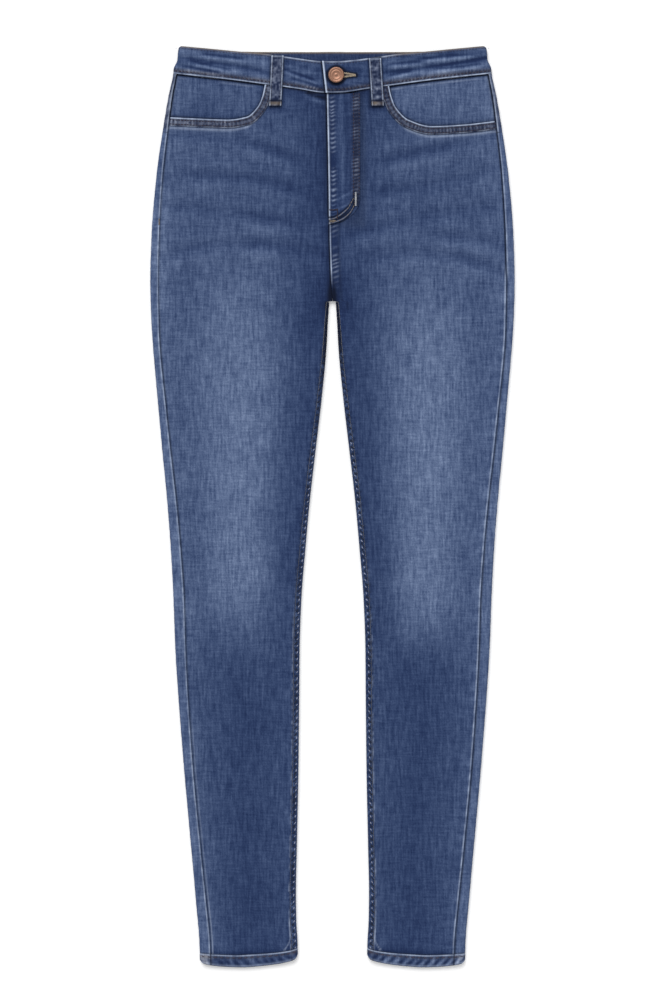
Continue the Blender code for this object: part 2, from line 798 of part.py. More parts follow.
def button(name):
    """Shank button: a dished disc with a raised rim, turned about its axis."""
    base = BAND_TOP + LAP_RAISE + GAP
    profile = [
        (0.0, 3.0),
        (3.6, 3.1),
        (5.6, 3.2),
        (6.4, 3.7),
        (7.3, 3.8),
        (8.1, 3.3),
        (BUTTON_RADIUS, 2.4),
        (8.0, 1.6),
        (5.0, 1.2),
        (4.6, 0.0),
        (0.0, 0.0),
    ]
    mesh = bpy.data.meshes.new(name)
    points = [(radius * MM, 0.0, (base + z) * MM) for radius, z in profile]
    mesh.from_pydata(points, [(i, i + 1) for i in range(len(points) - 1)], [])
    piece = add_object(name, mesh, material("copper", COPPER, 0.32, 0.9))
    piece.location = (BUTTON_X * MM, BUTTON_Y * MM, 0.0)
    turn = piece.modifiers.new("Turn", "SCREW")
    turn.steps = 24
    turn.render_steps = 24
    turn.use_merge_vertices = True
    turn.merge_threshold = 0.00005
    return piece


# Hems

def hem(name, side):
    """Turned hem: a flattened ring at the end of the leg."""
    rows = []
    for height in (0.0, 0.35, 0.7, 1.0):
        row = []
        nominal = -490.0 + height * 10.0
        edge = inner_edge(nominal)
        far = outer_edge(nominal)
        start = front_start(side, nominal)
        end = far - follow(OUTER, "strip", nominal) - GAP / 2
        section = [(start + share * (end - start), None) for share in front_columns(side)]
        section += arc(far - FOLD, FOLD, FOLD, pi / 2, -pi / 2)
        flat = far - edge - 2 * FOLD
        section += [(edge + FOLD + flat * share, 0.0) for share in UNDER_SHARES[::-1]]
        section += arc(edge + FOLD, FOLD, FOLD, 3 * pi / 2, pi / 2)
        for x, z in section:
            low = follow(HEM_EDGE, "y", x)
            high = follow(HEM_SEAM, "y", x)
            y = low + height * (high - low)
            row.append((side * x, y, face_height(side * x, y) if z is None else z))
        rows.append(row)
    return cloth(name, rows, BAND_WALL, material("denim", BLUE), facing_up=side > 0, ring=True)


def build():
    for item in list(bpy.data.objects):
        bpy.data.objects.remove(item)
    collection = bpy.data.collections.new("skinny_jeans")
    bpy.context.scene.collection.children.link(collection)
    for side_name, side in SIDES.items():
        front_panel("front_" + side_name, side)
        back_panel("back_" + side_name, side)
        back_yoke("back_yoke_" + side_name, side)
        patch_pocket("back_pocket_" + side_name, side)
        pocket_facing("pocket_facing_" + side_name, side)
        pocket_edge("pocket_edge_" + side_name, side)
        front_band("waistband_front_" + side_name, side)
        front_loop("belt_loop_front_" + side_name, side_name)
        hem("hem_" + side_name, side)
    fly("fly")
    zip_tape("zip")
    back_band("waistband_back")
    for place, x in BACK_LOOPS.items():
        back_loop("belt_loop_back_" + place, x)
    button("button")


build()
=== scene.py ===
import bpy
import math
import numpy as np
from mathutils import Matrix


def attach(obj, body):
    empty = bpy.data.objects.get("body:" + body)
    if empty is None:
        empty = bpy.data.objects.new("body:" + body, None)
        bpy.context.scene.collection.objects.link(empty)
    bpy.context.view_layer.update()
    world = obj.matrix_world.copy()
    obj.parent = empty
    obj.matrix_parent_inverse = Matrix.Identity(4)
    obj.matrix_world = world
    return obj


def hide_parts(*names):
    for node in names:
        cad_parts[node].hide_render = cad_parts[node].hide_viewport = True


# Faded blue skinny jeans laid flat, front side up, seen from straight above.
# X runs to the wearer's left, Y up to the waist and Z off the floor. Sizes are
# in millimetres until a mesh is made.

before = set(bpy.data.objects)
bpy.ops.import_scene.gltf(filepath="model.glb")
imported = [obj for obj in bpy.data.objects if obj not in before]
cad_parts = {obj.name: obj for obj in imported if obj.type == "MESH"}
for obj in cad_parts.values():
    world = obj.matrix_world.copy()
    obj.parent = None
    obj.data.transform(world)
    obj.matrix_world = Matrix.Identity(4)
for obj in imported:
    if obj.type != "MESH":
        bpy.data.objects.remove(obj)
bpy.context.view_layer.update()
mm = 0.001
print("frame loaded:", len(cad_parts), "nodes")


# Curves and noise

def curve(points):
    spots, values = np.array(points, float).T
    steps = np.diff(values) / np.diff(spots)
    tangents = np.empty_like(values)
    tangents[0] = steps[0]
    tangents[-1] = steps[-1]
    for i in range(1, len(values) - 1):
        level = steps[i - 1] * steps[i] <= 0
        tangents[i] = 0.0 if level else 2 * steps[i - 1] * steps[i] / (steps[i - 1] + steps[i])

    def at(place):
        place = np.clip(np.asarray(place, float), spots[0], spots[-1])
        i = np.clip(np.searchsorted(spots, place, side="right") - 1, 0, len(spots) - 2)
        run = spots[i + 1] - spots[i]
        t = (place - spots[i]) / run
        start = (1 + 2 * t) * (1 - t) ** 2 * values[i] + t * (1 - t) ** 2 * run * tangents[i]
        end = t * t * (3 - 2 * t) * values[i + 1] + t * t * (t - 1) * run * tangents[i + 1]
        return start + end
    return at


# Even steps, in runs of a start, an end and a count
def runs(*parts):
    return np.concatenate([np.linspace(*part) for part in parts])


def ease(t):
    t = np.clip(t, 0.0, 1.0)
    return t * t * (3 - 2 * t)


def ridge(distance, width):
    return np.exp(-(distance / width) ** 2)


# Whole up to a line, and fading past it
def bank(distance, width):
    return ridge(np.maximum(distance, 0.0), width)


# Smooth noise along a line, from -1 to 1
def wander(place, period, seed):
    count = 4096
    values = np.random.default_rng(seed).uniform(-1, 1, count)
    place = np.asarray(place, float) / period + 1000.0
    i = np.floor(place).astype(int)
    t = ease(place - i)
    return values[i % count] * (1 - t) + values[(i + 1) % count] * t


# Smooth noise over a surface, from -1 to 1
def patches(x, y, across, along, seed):
    count = 256
    values = np.random.default_rng(seed).uniform(-1, 1, (count, count))
    u = np.asarray(x, float) / across + 500.0
    v = np.asarray(y, float) / along + 500.0
    i = np.floor(u).astype(int)
    j = np.floor(v).astype(int)
    s = ease(u - i)
    t = ease(v - j)
    low, high = (values[i % count, k % count] * (1 - s) + values[(i + 1) % count, k % count] * s
                 for k in (j, j + 1))
    return low * (1 - t) + high * t


# Uneven puckers along a seam, from 0 to 1
def pleats(place, pitch, seed):
    phase = place / pitch + 0.45 * wander(place, pitch * 2.3, seed)
    height = 0.62 + 0.38 * wander(place, pitch * 1.7, seed + 1)
    return (0.5 + 0.5 * np.cos(2 * np.pi * phase)) * height


# Short crisp crests along a seam, from 0 to 1
def dashes(place, pitch, seed):
    phase = place / pitch + 0.55 * wander(place, pitch * 2.6, seed)
    height = np.clip(0.60 + 0.75 * wander(place, pitch * 2.1, seed + 1), 0.0, 1.0)
    return ridge(phase - np.round(phase), 0.19) * height


# The lie of the garment, in the part's own sizes

gap = 0.3
denimWall = 1.2
bandWall = 1.8
stripWall = 1.0
fold = 3.0
crotchFold = 2.3
crotch = 220.8
crotchStep = 1.0
flyBottom = 303.4
zipBottom = 312.0
zipTop = 443.4
zipHalf = 3.5
bandTop = 6.0
lapRaise = bandWall + gap
backLoopX = 100.0
holeAt = 463.4
backLoopBelow = 434.0
backLoopHalf = 6.6
raiseRun = 9.0
hemRun = 37.0
underRaise = stripWall + gap
yokeCentre = 372.0
pocketBox = (25.0, 151.0, 228.0, 364.0)
pocketCorner = 250.0
pocketTaper = 7.0
pocketInset = 1.0
loopBelow = 430.5
loopHalf = 6.6
flyFoot = 303.2
flyTop = 444.0
underlap = -12.0
rimPaintedShade = 0.85
buttonAt = (4.0, 463.2)
buttonRadius = 8.6
sides = {"Left": 1, "Right": -1}

outerEdge = curve([
    (-496.0, 142.6), (-471.4, 143.1), (-423.0, 147.1), (-369.3, 151.9), (-288.6, 159.2), (-208.0, 165.6),
    (-154.3, 169.1), (-100.5, 171.1), (-46.8, 173.9), (7.0, 178.0), (60.7, 183.2), (114.5, 188.1),
    (168.2, 192.8), (200.5, 195.0), (243.5, 196.1), (291.9, 194.7), (356.4, 189.4), (404.7, 182.6),
    (442.4, 176.2), (465.0, 171.4), (471.0, 170.8), (480.0, 166.9), (487.0, 166.4), (496.0, 165.2)])
outerStrip = curve([
    (-496.0, 12.0), (-471.4, 11.8), (-423.0, 11.3), (-369.3, 10.6), (-288.6, 10.2), (-208.0, 10.8),
    (-154.3, 11.5), (-100.5, 11.8), (-46.8, 11.0), (7.0, 10.2), (60.7, 9.3), (114.5, 8.5), (168.2, 7.8),
    (200.5, 8.6), (243.5, 9.1), (291.9, 8.7), (356.4, 7.2), (404.7, 5.8), (442.4, 4.4), (465.0, 3.8),
    (496.0, 3.8)])
innerEdge = curve([
    (-496.0, 37.2), (-471.4, 37.5), (-445.0, 38.9), (-415.0, 39.3), (-369.3, 38.4), (-288.6, 36.7),
    (-208.0, 35.8), (-154.3, 35.4), (-100.5, 33.5), (-46.8, 29.2), (7.0, 24.3), (60.7, 18.1),
    (114.5, 11.8), (168.2, 6.6), (200.5, 4.8), (crotch, 3.4)])
innerStrip = curve([
    (-496.0, 6.2), (-154.3, 6.2), (-100.5, 6.1), (-46.8, 5.9), (7.0, 5.6), (60.7, 5.2), (114.5, 4.7),
    (168.2, 4.0), (200.5, 3.3), (crotch, 2.9)])
settled = curve([
    (-496.0, 4.8), (-478.0, 4.7), (-452.0, 3.5), (120.0, 3.5), (crotch, 4.5), (400.0, 4.8), (424.0, 5.4),
    (470.0, 5.5)])
waistSeam = curve([(0.0, 444.3), (10.0, 444.6), (37.0, 448.8), (57.0, 451.6), (112.0, 458.9), (171.4, 465.3)])
bandFrontEdge = curve([
    (0.0, 478.3), (10.0, 478.6), (41.0, 482.3), (69.0, 486.2), (98.0, 488.8), (130.0, 491.9), (166.0, 495.2)])
bandBackEdge = curve([(0.0, 488.9), (98.0, 489.2), (130.0, 492.0), (166.0, 495.3)])
backSeam = curve([(0.0, 455.0), (100.0, 459.2), (171.4, 465.3)])
bandJoin = curve([(455.0, 160.5), (496.0, 153.0)])
hemSeam = curve([
    (37.0, -474.5), (46.0, -477.2), (63.0, -479.8), (87.0, -481.6), (102.0, -482.3), (128.0, -481.4),
    (143.0, -480.2)])
hemEdge = curve([
    (37.0, -484.2), (40.0, -486.6), (46.0, -489.0), (60.0, -492.0), (80.0, -494.4), (97.0, -495.5),
    (115.0, -494.9), (131.0, -493.2), (143.0, -490.6)])
mouthStart = {1: 61.2, -1: 73.0}
pocketMouth = {
    1: curve([(61.2, 451.9), (63.8, 440.5), (68.6, 429.0), (82.0, 416.0), (107.0, 409.2), (142.0, 411.0),
              (174.0, 414.5)]),
    -1: curve([(73.0, 453.7), (76.0, 440.5), (81.0, 429.5), (92.5, 419.2), (112.0, 416.2), (147.0, 417.4),
               (174.0, 418.6)]),
}
centreSeam = curve([(crotch, 0.0), (247.0, -1.9), (flyBottom, -3.4), (452.0, -3.4)])
flyFreeEdge = curve([(302.0, -3.9), (321.0, -4.0), (362.0, -4.5), (446.0, -6.2)])
flyStitchedEdge = curve([
    (flyFoot, -1.0), (305.8, 9.1), (310.0, 16.5), (316.0, 23.5), (324.0, 28.2), (334.0, 29.8), (446.0, 29.8)])
lapEdge = curve([(440.0, -6.8), (482.0, -11.6)])

# From one end of a crease to the other: x, y, x, y, bow, width and depth
hipCreases = [
    (-172.0, 402.0, -35.0, 372.5, 7.6, 6.0, 0.35), (-153.0, 356.4, -35.0, 340.2, 5.7, 6.0, 0.40),
    (-183.0, 325.4, -40.0, 305.8, 1.0, 6.5, 0.40), (-183.0, 270.0, -8.0, 270.0, 13.5, 7.0, 0.45),
    (51.0, 372.5, 175.0, 399.4, 0.0, 6.0, 0.35), (48.0, 340.0, 177.0, 367.0, -6.0, 6.0, 0.40),
    (15.6, 291.9, 180.0, 324.0, 4.0, 7.0, 0.45), (115.6, 291.9, 182.0, 284.3, 0.0, 6.0, 0.35),
    (40.0, 268.0, 182.0, 252.0, 12.6, 7.0, 0.45)]
bandCreases = [(-171.0, 483.6, -74.0, 467.8, 0.5, 3.4, 0.8), (56.0, 466.5, 171.0, 483.0, -1.0, 3.4, 0.7)]


# How near a point is to a crease's line, from 0 to 1, and its offset over the line
def creaseAt(crease, x, y, width=None):
    x0, y0, x1, y1, bow, own, _ = crease
    t = (x - x0) / (x1 - x0)
    offset = y - (y0 + (y1 - y0) * t + bow * 4 * t * (1 - t))
    fade = ease((t + 0.15) / 0.3) * ease((1.15 - t) / 0.3)
    return fade * ridge(offset, width or own), offset


def innerFold(y):
    return crotchFold + (fold - crotchFold) * ease((crotch - y) / 70.0)


# Height of the outer face of the fronts, and of the strips beside them
def faceHeight(x, y):
    level = settled(y)
    outside = np.maximum(outerEdge(y) - np.abs(x) - fold, 0.0)
    height = level + (2 * fold - level) * ridge(outside, 15.0)
    turn = innerFold(y)
    inside = np.maximum(np.abs(x) - innerEdge(y) - turn, 0.0)
    height += np.where(y < crotch, (2 * turn - level) * ridge(inside, 15.0), 0.0)
    return height - sum(creaseAt(c, x, y)[0] * c[6] for c in hipCreases)


def bandHeight(x, y, side):
    outside = np.maximum(outerEdge(y) - np.abs(x) - fold, 0.0)
    height = bandTop + (2 * fold - bandTop) * ridge(outside, 15.0)
    height -= sum(creaseAt(c, x, y)[0] * c[6] for c in bandCreases)
    if side > 0:
        height += lapRaise * ease((37.0 - x) / 23.0)
    return height


def onFace(x, y, up=0.0):
    return np.stack([x, y, faceHeight(x, y) + up], axis=-1)


def onBand(x, y, side, up=0.0):
    return np.stack([x, y, bandHeight(x, y, side) + up], axis=-1)


def yokeSeam(x):
    return yokeCentre + 32.0 * np.minimum(np.abs(x) / 190.0, 1.0)


def pocketRaise(x, y):
    inner, outer, low, high = pocketBox
    away = np.maximum(np.maximum(inner - np.abs(x), np.abs(x) - outer), np.maximum(low - y, y - high))
    return underRaise * ease(1.08 - np.maximum(away, 0.0) / raiseRun)


def loopUnder(x, y):
    beside = np.minimum(np.abs(np.abs(x) - backLoopX), np.abs(x)) - backLoopHalf
    away = np.maximum(np.maximum(beside, backLoopBelow - y), 0.0)
    return underRaise * ease(1.1 - away / raiseRun)


def frontTop(side, x):
    seam = waistSeam(x) - 2 * gap
    return np.where(x <= mouthStart[side], seam, np.minimum(pocketMouth[side](x) - 1.4, seam))


def frontStart(side, y):
    inseam = innerEdge(y) + innerStrip(y) + gap / 2
    centre = centreSeam(y) * side + gap / 2
    if side > 0:
        centre = centre + 2 * (zipHalf + gap) * ease((y - flyBottom) / (zipBottom - flyBottom - 2 * gap))
    return np.where(y < crotch, inseam, centre)


def frontEnd(y):
    return outerEdge(y) - outerStrip(y) - gap / 2


# A row's height at x, bent to the lines that bound the piece below and above
def bend(nominal, x, low, lowRun, high, highRun, ends):
    y = nominal + np.clip(1 - (nominal - ends[0]) / lowRun, 0, 1) * (low(x) - ends[0])
    return y + np.clip(1 - (ends[1] - nominal) / highRun, 0, 1) * (high(x) - ends[1])


# Meshes

def surfaceNormals(spots, faces):
    corners = spots[faces]
    across = corners[:, 2] - corners[:, 0]
    along = corners[:, 3] - corners[:, 1]
    areas = np.cross(across, along)
    normals = np.zeros_like(spots)
    for i in range(4):
        np.add.at(normals, faces[:, i], areas)
    return normals / np.maximum(np.linalg.norm(normals, axis=1), 1e-9)[:, None], areas


def addObject(name, data):
    made = bpy.data.objects.new(name, data)
    bpy.context.scene.collection.objects.link(made)
    return made


def addMesh(name, spots, faces, finish):
    mesh = bpy.data.meshes.new(name)
    mesh.from_pydata((spots * mm).tolist(), [], [list(map(int, f)) for f in faces])
    mesh.update()
    mesh.shade_smooth()
    mesh.materials.append(finish)
    return addObject(name, mesh)


innerTone = 0.9
cuts = {}


# A sheet through a grid of points, closed by its inner side and its rims. Places
# that are not a number are left out. looks are the colour layers of the outer side
def addCloth(name, grid, wall, up, finish, looks, ring=False, lift=0.0):
    rows, columns = grid.shape[:2]
    number = np.arange(rows * columns).reshape(rows, columns)
    right = np.roll(number, -1, axis=1) if ring else number[:, 1:]
    left = number if ring else number[:, :-1]
    quads = np.stack([left[:-1], right[:-1], right[1:], left[1:]], axis=-1).reshape(-1, 4)
    if not up:
        quads = quads[:, ::-1]
    flatGrid = grid.reshape(-1, 3)
    there = np.isfinite(flatGrid).all(axis=1)
    quads = quads[there[quads].all(axis=1)]
    used = np.unique(quads)
    renumber = np.full(len(flatGrid), -1)
    renumber[used] = np.arange(len(used))
    quads = renumber[quads]
    base = flatGrid[used]
    normals, areas = surfaceNormals(base, quads)
    rise = np.broadcast_to(np.asarray(lift, float), (rows, columns)).reshape(-1)[used]
    outer = base + normals * rise[:, None]
    inner = base - normals * wall
    count = len(base)
    edges = np.concatenate([quads[:, [i, (i + 1) % 4]] for i in range(4)])
    keys = edges[:, 0] * count + edges[:, 1]
    rims = edges[~np.isin(edges[:, 1] * count + edges[:, 0], keys)]
    faces = np.concatenate([quads, quads[:, ::-1] + count,
                            np.stack([rims[:, 1], rims[:, 0], rims[:, 0] + count, rims[:, 1] + count],
                                     axis=-1)])
    piece = addMesh(name, np.concatenate([outer, inner]), faces, finish)
    for label in ("tone", "rub", "dark", "worn", "tan"):
        values = np.broadcast_to(np.asarray(looks.get(label, 0.0), float), (rows, columns)).reshape(-1)[used]
        # Inner side: its own tone, with painted shade from the looks and darker painted shade at the rims
        inside = np.full(count, {"tone": innerTone, "dark": looks.get("shade", 0.0)}.get(label, 0.0))
        if label == "dark" and not name.startswith("waistband"):
            inside[np.unique(rims)] = rimPaintedShade
        attribute = piece.data.attributes.new(label, "FLOAT", "POINT")
        attribute.data.foreach_set("value", np.concatenate([values, inside]).astype(np.float32))
    area = np.linalg.norm(areas, axis=1).sum() / 2
    steps = np.linalg.norm(np.diff(grid, axis=1, append=grid[:, :1] if ring else grid[:, -1:]), axis=2)
    length = np.linalg.norm(np.diff(grid, axis=0), axis=2)
    flat = (float(np.nansum(steps, axis=1).max()), float(np.nansum(length, axis=0).max()))
    if name.startswith(("backPatch", "flyFlap")):  # their columns run slantwise, so the plan gives the size
        flat = tuple(float(value) for value in (np.nanmax(grid, axis=(0, 1))
                                                - np.nanmin(grid, axis=(0, 1)))[:2])
    cuts[name] = (piece, (flat[0] * mm, flat[1] * mm), float(area) * mm * mm)
    return piece


# Materials

# A socket of a material's nodes, with the arithmetic that the shades need
class Shade:
    def __init__(self, tree, socket):
        self.tree = tree
        self.socket = socket

    def node(self, kind, output=0, settings=(), **inputs):
        made = self.tree.nodes.new(kind)
        for key, value in settings:
            setattr(made, key, value)
        for key, value in inputs.items():
            target = made.inputs[int(key[1:])] if key[1:].isdigit() else made.inputs[key]
            if isinstance(value, Shade):
                self.tree.links.new(value.socket, target)
            else:
                target.default_value = value
        return Shade(self.tree, made.outputs[output])

    def math(self, operation, other, swap=False, clamp=False):
        pair = (other, self) if swap else (self, other)
        return self.node("ShaderNodeMath", 0, [("operation", operation), ("use_clamp", clamp)],
                         i0=pair[0], i1=pair[1])

    def __add__(self, other):
        return self.math("ADD", other)

    def __radd__(self, other):
        return self.math("ADD", other, True)

    def __sub__(self, other):
        return self.math("SUBTRACT", other)

    def __rsub__(self, other):
        return self.math("SUBTRACT", other, True)

    def __mul__(self, other):
        return self.math("MULTIPLY", other)

    def __rmul__(self, other):
        return self.math("MULTIPLY", other, True)

    def clamped(self, low=0.0, high=1.0):
        return self.node("ShaderNodeClamp", 0, [], i0=self, i1=low, i2=high)

    # This colour, turned to another by a factor
    def colour(self, factor, other):
        return self.node("ShaderNodeMix", 2, [("data_type", "RGBA")], i0=factor, i6=self, i7=other)

    def stretched(self, scale):
        return self.node("ShaderNodeVectorMath", 0, [("operation", "MULTIPLY")], i0=self, i1=scale)

    def noise(self, scale, detail=2.0, roughness=0.5):
        return self.node("ShaderNodeTexNoise", 0, [], Vector=self.stretched(scale), Scale=1.0,
                         Detail=detail, Roughness=roughness)


def newMaterial(name, roughness=0.9, metallic=0.0, sheen=0.0):
    finish = bpy.data.materials.new(name)
    finish.use_nodes = True
    tree = finish.node_tree
    shader = tree.nodes["Principled BSDF"]
    shader.inputs["Roughness"].default_value = roughness
    shader.inputs["Metallic"].default_value = metallic
    if sheen:
        shader.inputs["Sheen Weight"].default_value = sheen
        shader.inputs["Sheen Roughness"].default_value = 0.6
    place = tree.nodes.new("ShaderNodeTexCoord")
    return finish, Shade(tree, place.outputs["Object"]), shader


def layer(shade, name):
    return shade.node("ShaderNodeAttribute", 2, [("attribute_name", name)])


# A plain colour as a socket
def fill(shade, colour):
    return shade.node("ShaderNodeMix", 2, [("data_type", "RGBA")], i0=0.0, i6=(*colour, 1.0),
                      i7=(*colour, 1.0))


def finishShade(shader, colour, height=None, depth=0.0002, strength=0.6):
    tree = colour.tree
    tree.links.new(colour.socket, shader.inputs["Base Color"])
    if height is not None:
        bump = colour.node("ShaderNodeBump", 0, [], Height=height, Distance=depth, Strength=strength)
        tree.links.new(bump.socket, shader.inputs["Normal"])


denim = {
    "blues": ((0.0120, 0.0248, 0.0790), (0.0370, 0.0755, 0.1920), (0.3080, 0.3880, 0.5650)),
    "greys": ((0.0120, 0.0125, 0.0190), (0.0780, 0.0780, 0.0980), (0.4200, 0.4000, 0.4000)),
    "tan": (0.2100, 0.1650, 0.1150),
    "chalk": (0.5400, 0.6300, 0.8000),
    "paintedShadeColour": (0.0032, 0.0060, 0.0190),
    "slub": 1.35,
    "weft": 0.75,
    "mottle": 0.55,
    "fine": 0.75,
    "twill": 0.05,
}


def denimMaterial(name):
    finish, place, shader = newMaterial(name, 0.92, sheen=0.02)
    shader.inputs["Specular IOR Level"].default_value = 0.12
    slub = place.noise((430.0, 48.0, 50.0), 3.0, 0.6) - 0.5
    weft = place.noise((70.0, 520.0, 50.0), 3.0, 0.6) - 0.5
    mottle = place.noise((210.0, 160.0, 50.0), 3.0, 0.65) - 0.5
    fine = place.noise((760.0, 700.0, 50.0), 2.0, 0.7) - 0.5
    warp = place.node("ShaderNodeTexWave", 0, [("wave_type", "BANDS"), ("bands_direction", "DIAGONAL")],
                      Vector=place.stretched((1.0, 0.62, 0.0)), Scale=190.0, Distortion=1.2, Detail=1.0) - 0.5
    wash = layer(place, "tone")
    grain = slub * denim["slub"] + weft * denim["weft"] + mottle * denim["mottle"] + fine * denim["fine"]
    tone = wash + grain * (wash.clamped(0.0, 1.5) * 0.55 + 1.0) + warp * denim["twill"]
    share = (tone * 0.357 + 0.143).clamped()

    def between(shades):
        low, middle, high = shades
        first = fill(place, low).colour(share, (*middle, 1.0))
        return first.colour(share, fill(place, middle).colour(share, (*high, 1.0)))

    colour = between(denim["blues"]).colour(layer(place, "worn").clamped(), between(denim["greys"]))
    colour = colour.colour(layer(place, "tan").clamped(), (*denim["tan"], 1.0))
    # Pale chalk lines on seams, folds and edges: rubbed wear with a painted highlight on the ridges
    rub = layer(place, "rub")
    colour = colour.colour((rub + grain * rub * 0.7).clamped(), (*denim["chalk"], 1.0))
    # The dark layer is painted shade, near black, in grooves, under overlaps, at rims and in hollows, with
    # some unfaded dye in the seams
    colour = colour.colour(layer(place, "dark").clamped(), (*denim["paintedShadeColour"], 1.0))
    finishShade(shader, colour, slub * 0.8 + weft * 0.5 + warp * 0.5, 0.0004, 0.5)
    return finish


def threadMaterial(name, colour, second):
    finish, place, shader = newMaterial(name, 0.8)
    shader.inputs["Specular IOR Level"].default_value = 0.2
    colour = fill(place, colour).colour(place.noise((900.0, 900.0, 900.0), 1.0), (*second, 1.0))
    finishShade(shader, colour)
    return finish


def plainMaterial(name, colour, second, grain, roughness, metallic=0.0):
    finish, place, shader = newMaterial(name, roughness, metallic)
    texture = place.noise((grain, grain, grain), 3.0)
    finishShade(shader, fill(place, colour).colour(texture, (*second, 1.0)), texture, 0.0001, 0.3)
    return finish


denimFinish = denimMaterial("denimCloth")
whiteThread = threadMaterial("paleThread", (0.62, 0.63, 0.64), (0.34, 0.36, 0.40))
brownThread = threadMaterial("brownThread", (0.024, 0.020, 0.036), (0.056, 0.044, 0.062))
goldThread = threadMaterial("goldThread", (0.33, 0.285, 0.225), (0.17, 0.125, 0.10))
holeThread = threadMaterial("holeThread", (0.47, 0.40, 0.30), (0.22, 0.17, 0.12))
ropeThread = threadMaterial("ropeThread", (0.13, 0.16, 0.26), (0.40, 0.43, 0.56))
shadeThread = threadMaterial("shadeThread", (0.008, 0.012, 0.026), (0.018, 0.024, 0.046))
hemThread = threadMaterial("hemThread", (0.026, 0.024, 0.048), (0.085, 0.072, 0.105))
copperFinish = plainMaterial("copperMetal", (0.40, 0.215, 0.145), (0.27, 0.135, 0.090), 700.0, 0.42, 0.7)
tapeFinish = plainMaterial("zipTape", (0.050, 0.060, 0.100), (0.035, 0.042, 0.075), 1500.0, 0.9)
print("materials made")


# How the cloth has faded and creased, from the outseam (0) to the inseam or the centre (1)

thighTone = curve([
    (0.0, 0.80), (0.10, 0.62), (0.18, 0.64), (0.25, 0.80), (0.32, 0.92), (0.40, 1.0), (0.5, 1.05),
    (0.6, 0.98), (0.68, 0.80), (0.75, 0.58), (0.82, 0.36), (0.9, 0.14), (1.0, 0.05)])
hipTone = curve([
    (0.0, 0.62), (0.10, 0.50), (0.2, 0.42), (0.35, 0.42), (0.5, 0.37), (0.65, 0.30), (0.75, 0.22),
    (0.85, 0.12), (1.0, 0.04)])
calfTone = curve([
    (0.0, 0.56), (0.10, 0.38), (0.2, 0.25), (0.35, 0.15), (0.5, 0.04), (0.6, 0.05), (0.7, 0.10),
    (0.8, 0.15), (0.9, 0.22), (1.0, 0.26)])


# Where the wash changes over a leg, where the painted highlights beside the hip creases lie, and the pitches
# of the puckers
fade = {"thighTop": 330.0, "thighRun": 190.0, "calfTop": -88.0, "calfRun": 100.0, "ankle": -370.0,
        "ankleRun": 70.0,
        "aboveCrease": 11.0, "belowCrease": 12.0, "puckerPitch": {1: 15.0, -1: 11.0}, "ropePitch": 6.8}


# The wash over a leg: dark hips, a pale thigh that ends below the knee, a dark calf
def legTone(side, x, y, share):
    sway = 9.0 * patches(x, y, 14.0, 60.0, 11 + side) + 6.0 * patches(x, y, 45.0, 80.0, 21 + side)
    thigh = ease((fade["thighTop"] + sway - y) / fade["thighRun"])
    calf = ease((fade["calfTop"] + sway * 1.3 - y) / fade["calfRun"])
    upper = hipTone(share) * (1 - thigh) + thighTone(share) * thigh
    tone = upper * (1 - calf) + calfTone(share) * calf - 0.07 * ease((fade["ankle"] - y) / fade["ankleRun"])
    return tone + 0.05 * patches(x, y, 26.0, 38.0, 31 + side) + 0.03 * patches(x, y, 9.0, 30.0, 41 + side)


# Lift and tone of the creases over the hips, darker in the trough and paler beside it: painted shade in the
# trough and painted highlight on the flanks, over the whiskers' own fade
def whiskerLiftAndShading(x, y):
    lift = np.zeros_like(x)
    tone = np.zeros_like(x)
    for i, crease in enumerate(hipCreases):
        near, _ = creaseAt(crease, x, y)
        above, _ = creaseAt(crease, x, y - fade["aboveCrease"])
        below, _ = creaseAt(crease, x, y + fade["belowCrease"])
        strength = 0.7 + 0.5 * wander(x, 38.0, 60 + i)
        lift += (0.35 * above + 0.45 * below - 0.25 * near) * strength
        tone += (0.20 * above + 0.26 * below - 0.30 * near) * strength
    return lift, tone


# 0 where an outseam's pale line lies on the back's strip, 1 where it lies on the front
def seamShift(side, y):
    return ease((262.0 - y) / 22.0) if side > 0 else 0.0 * y


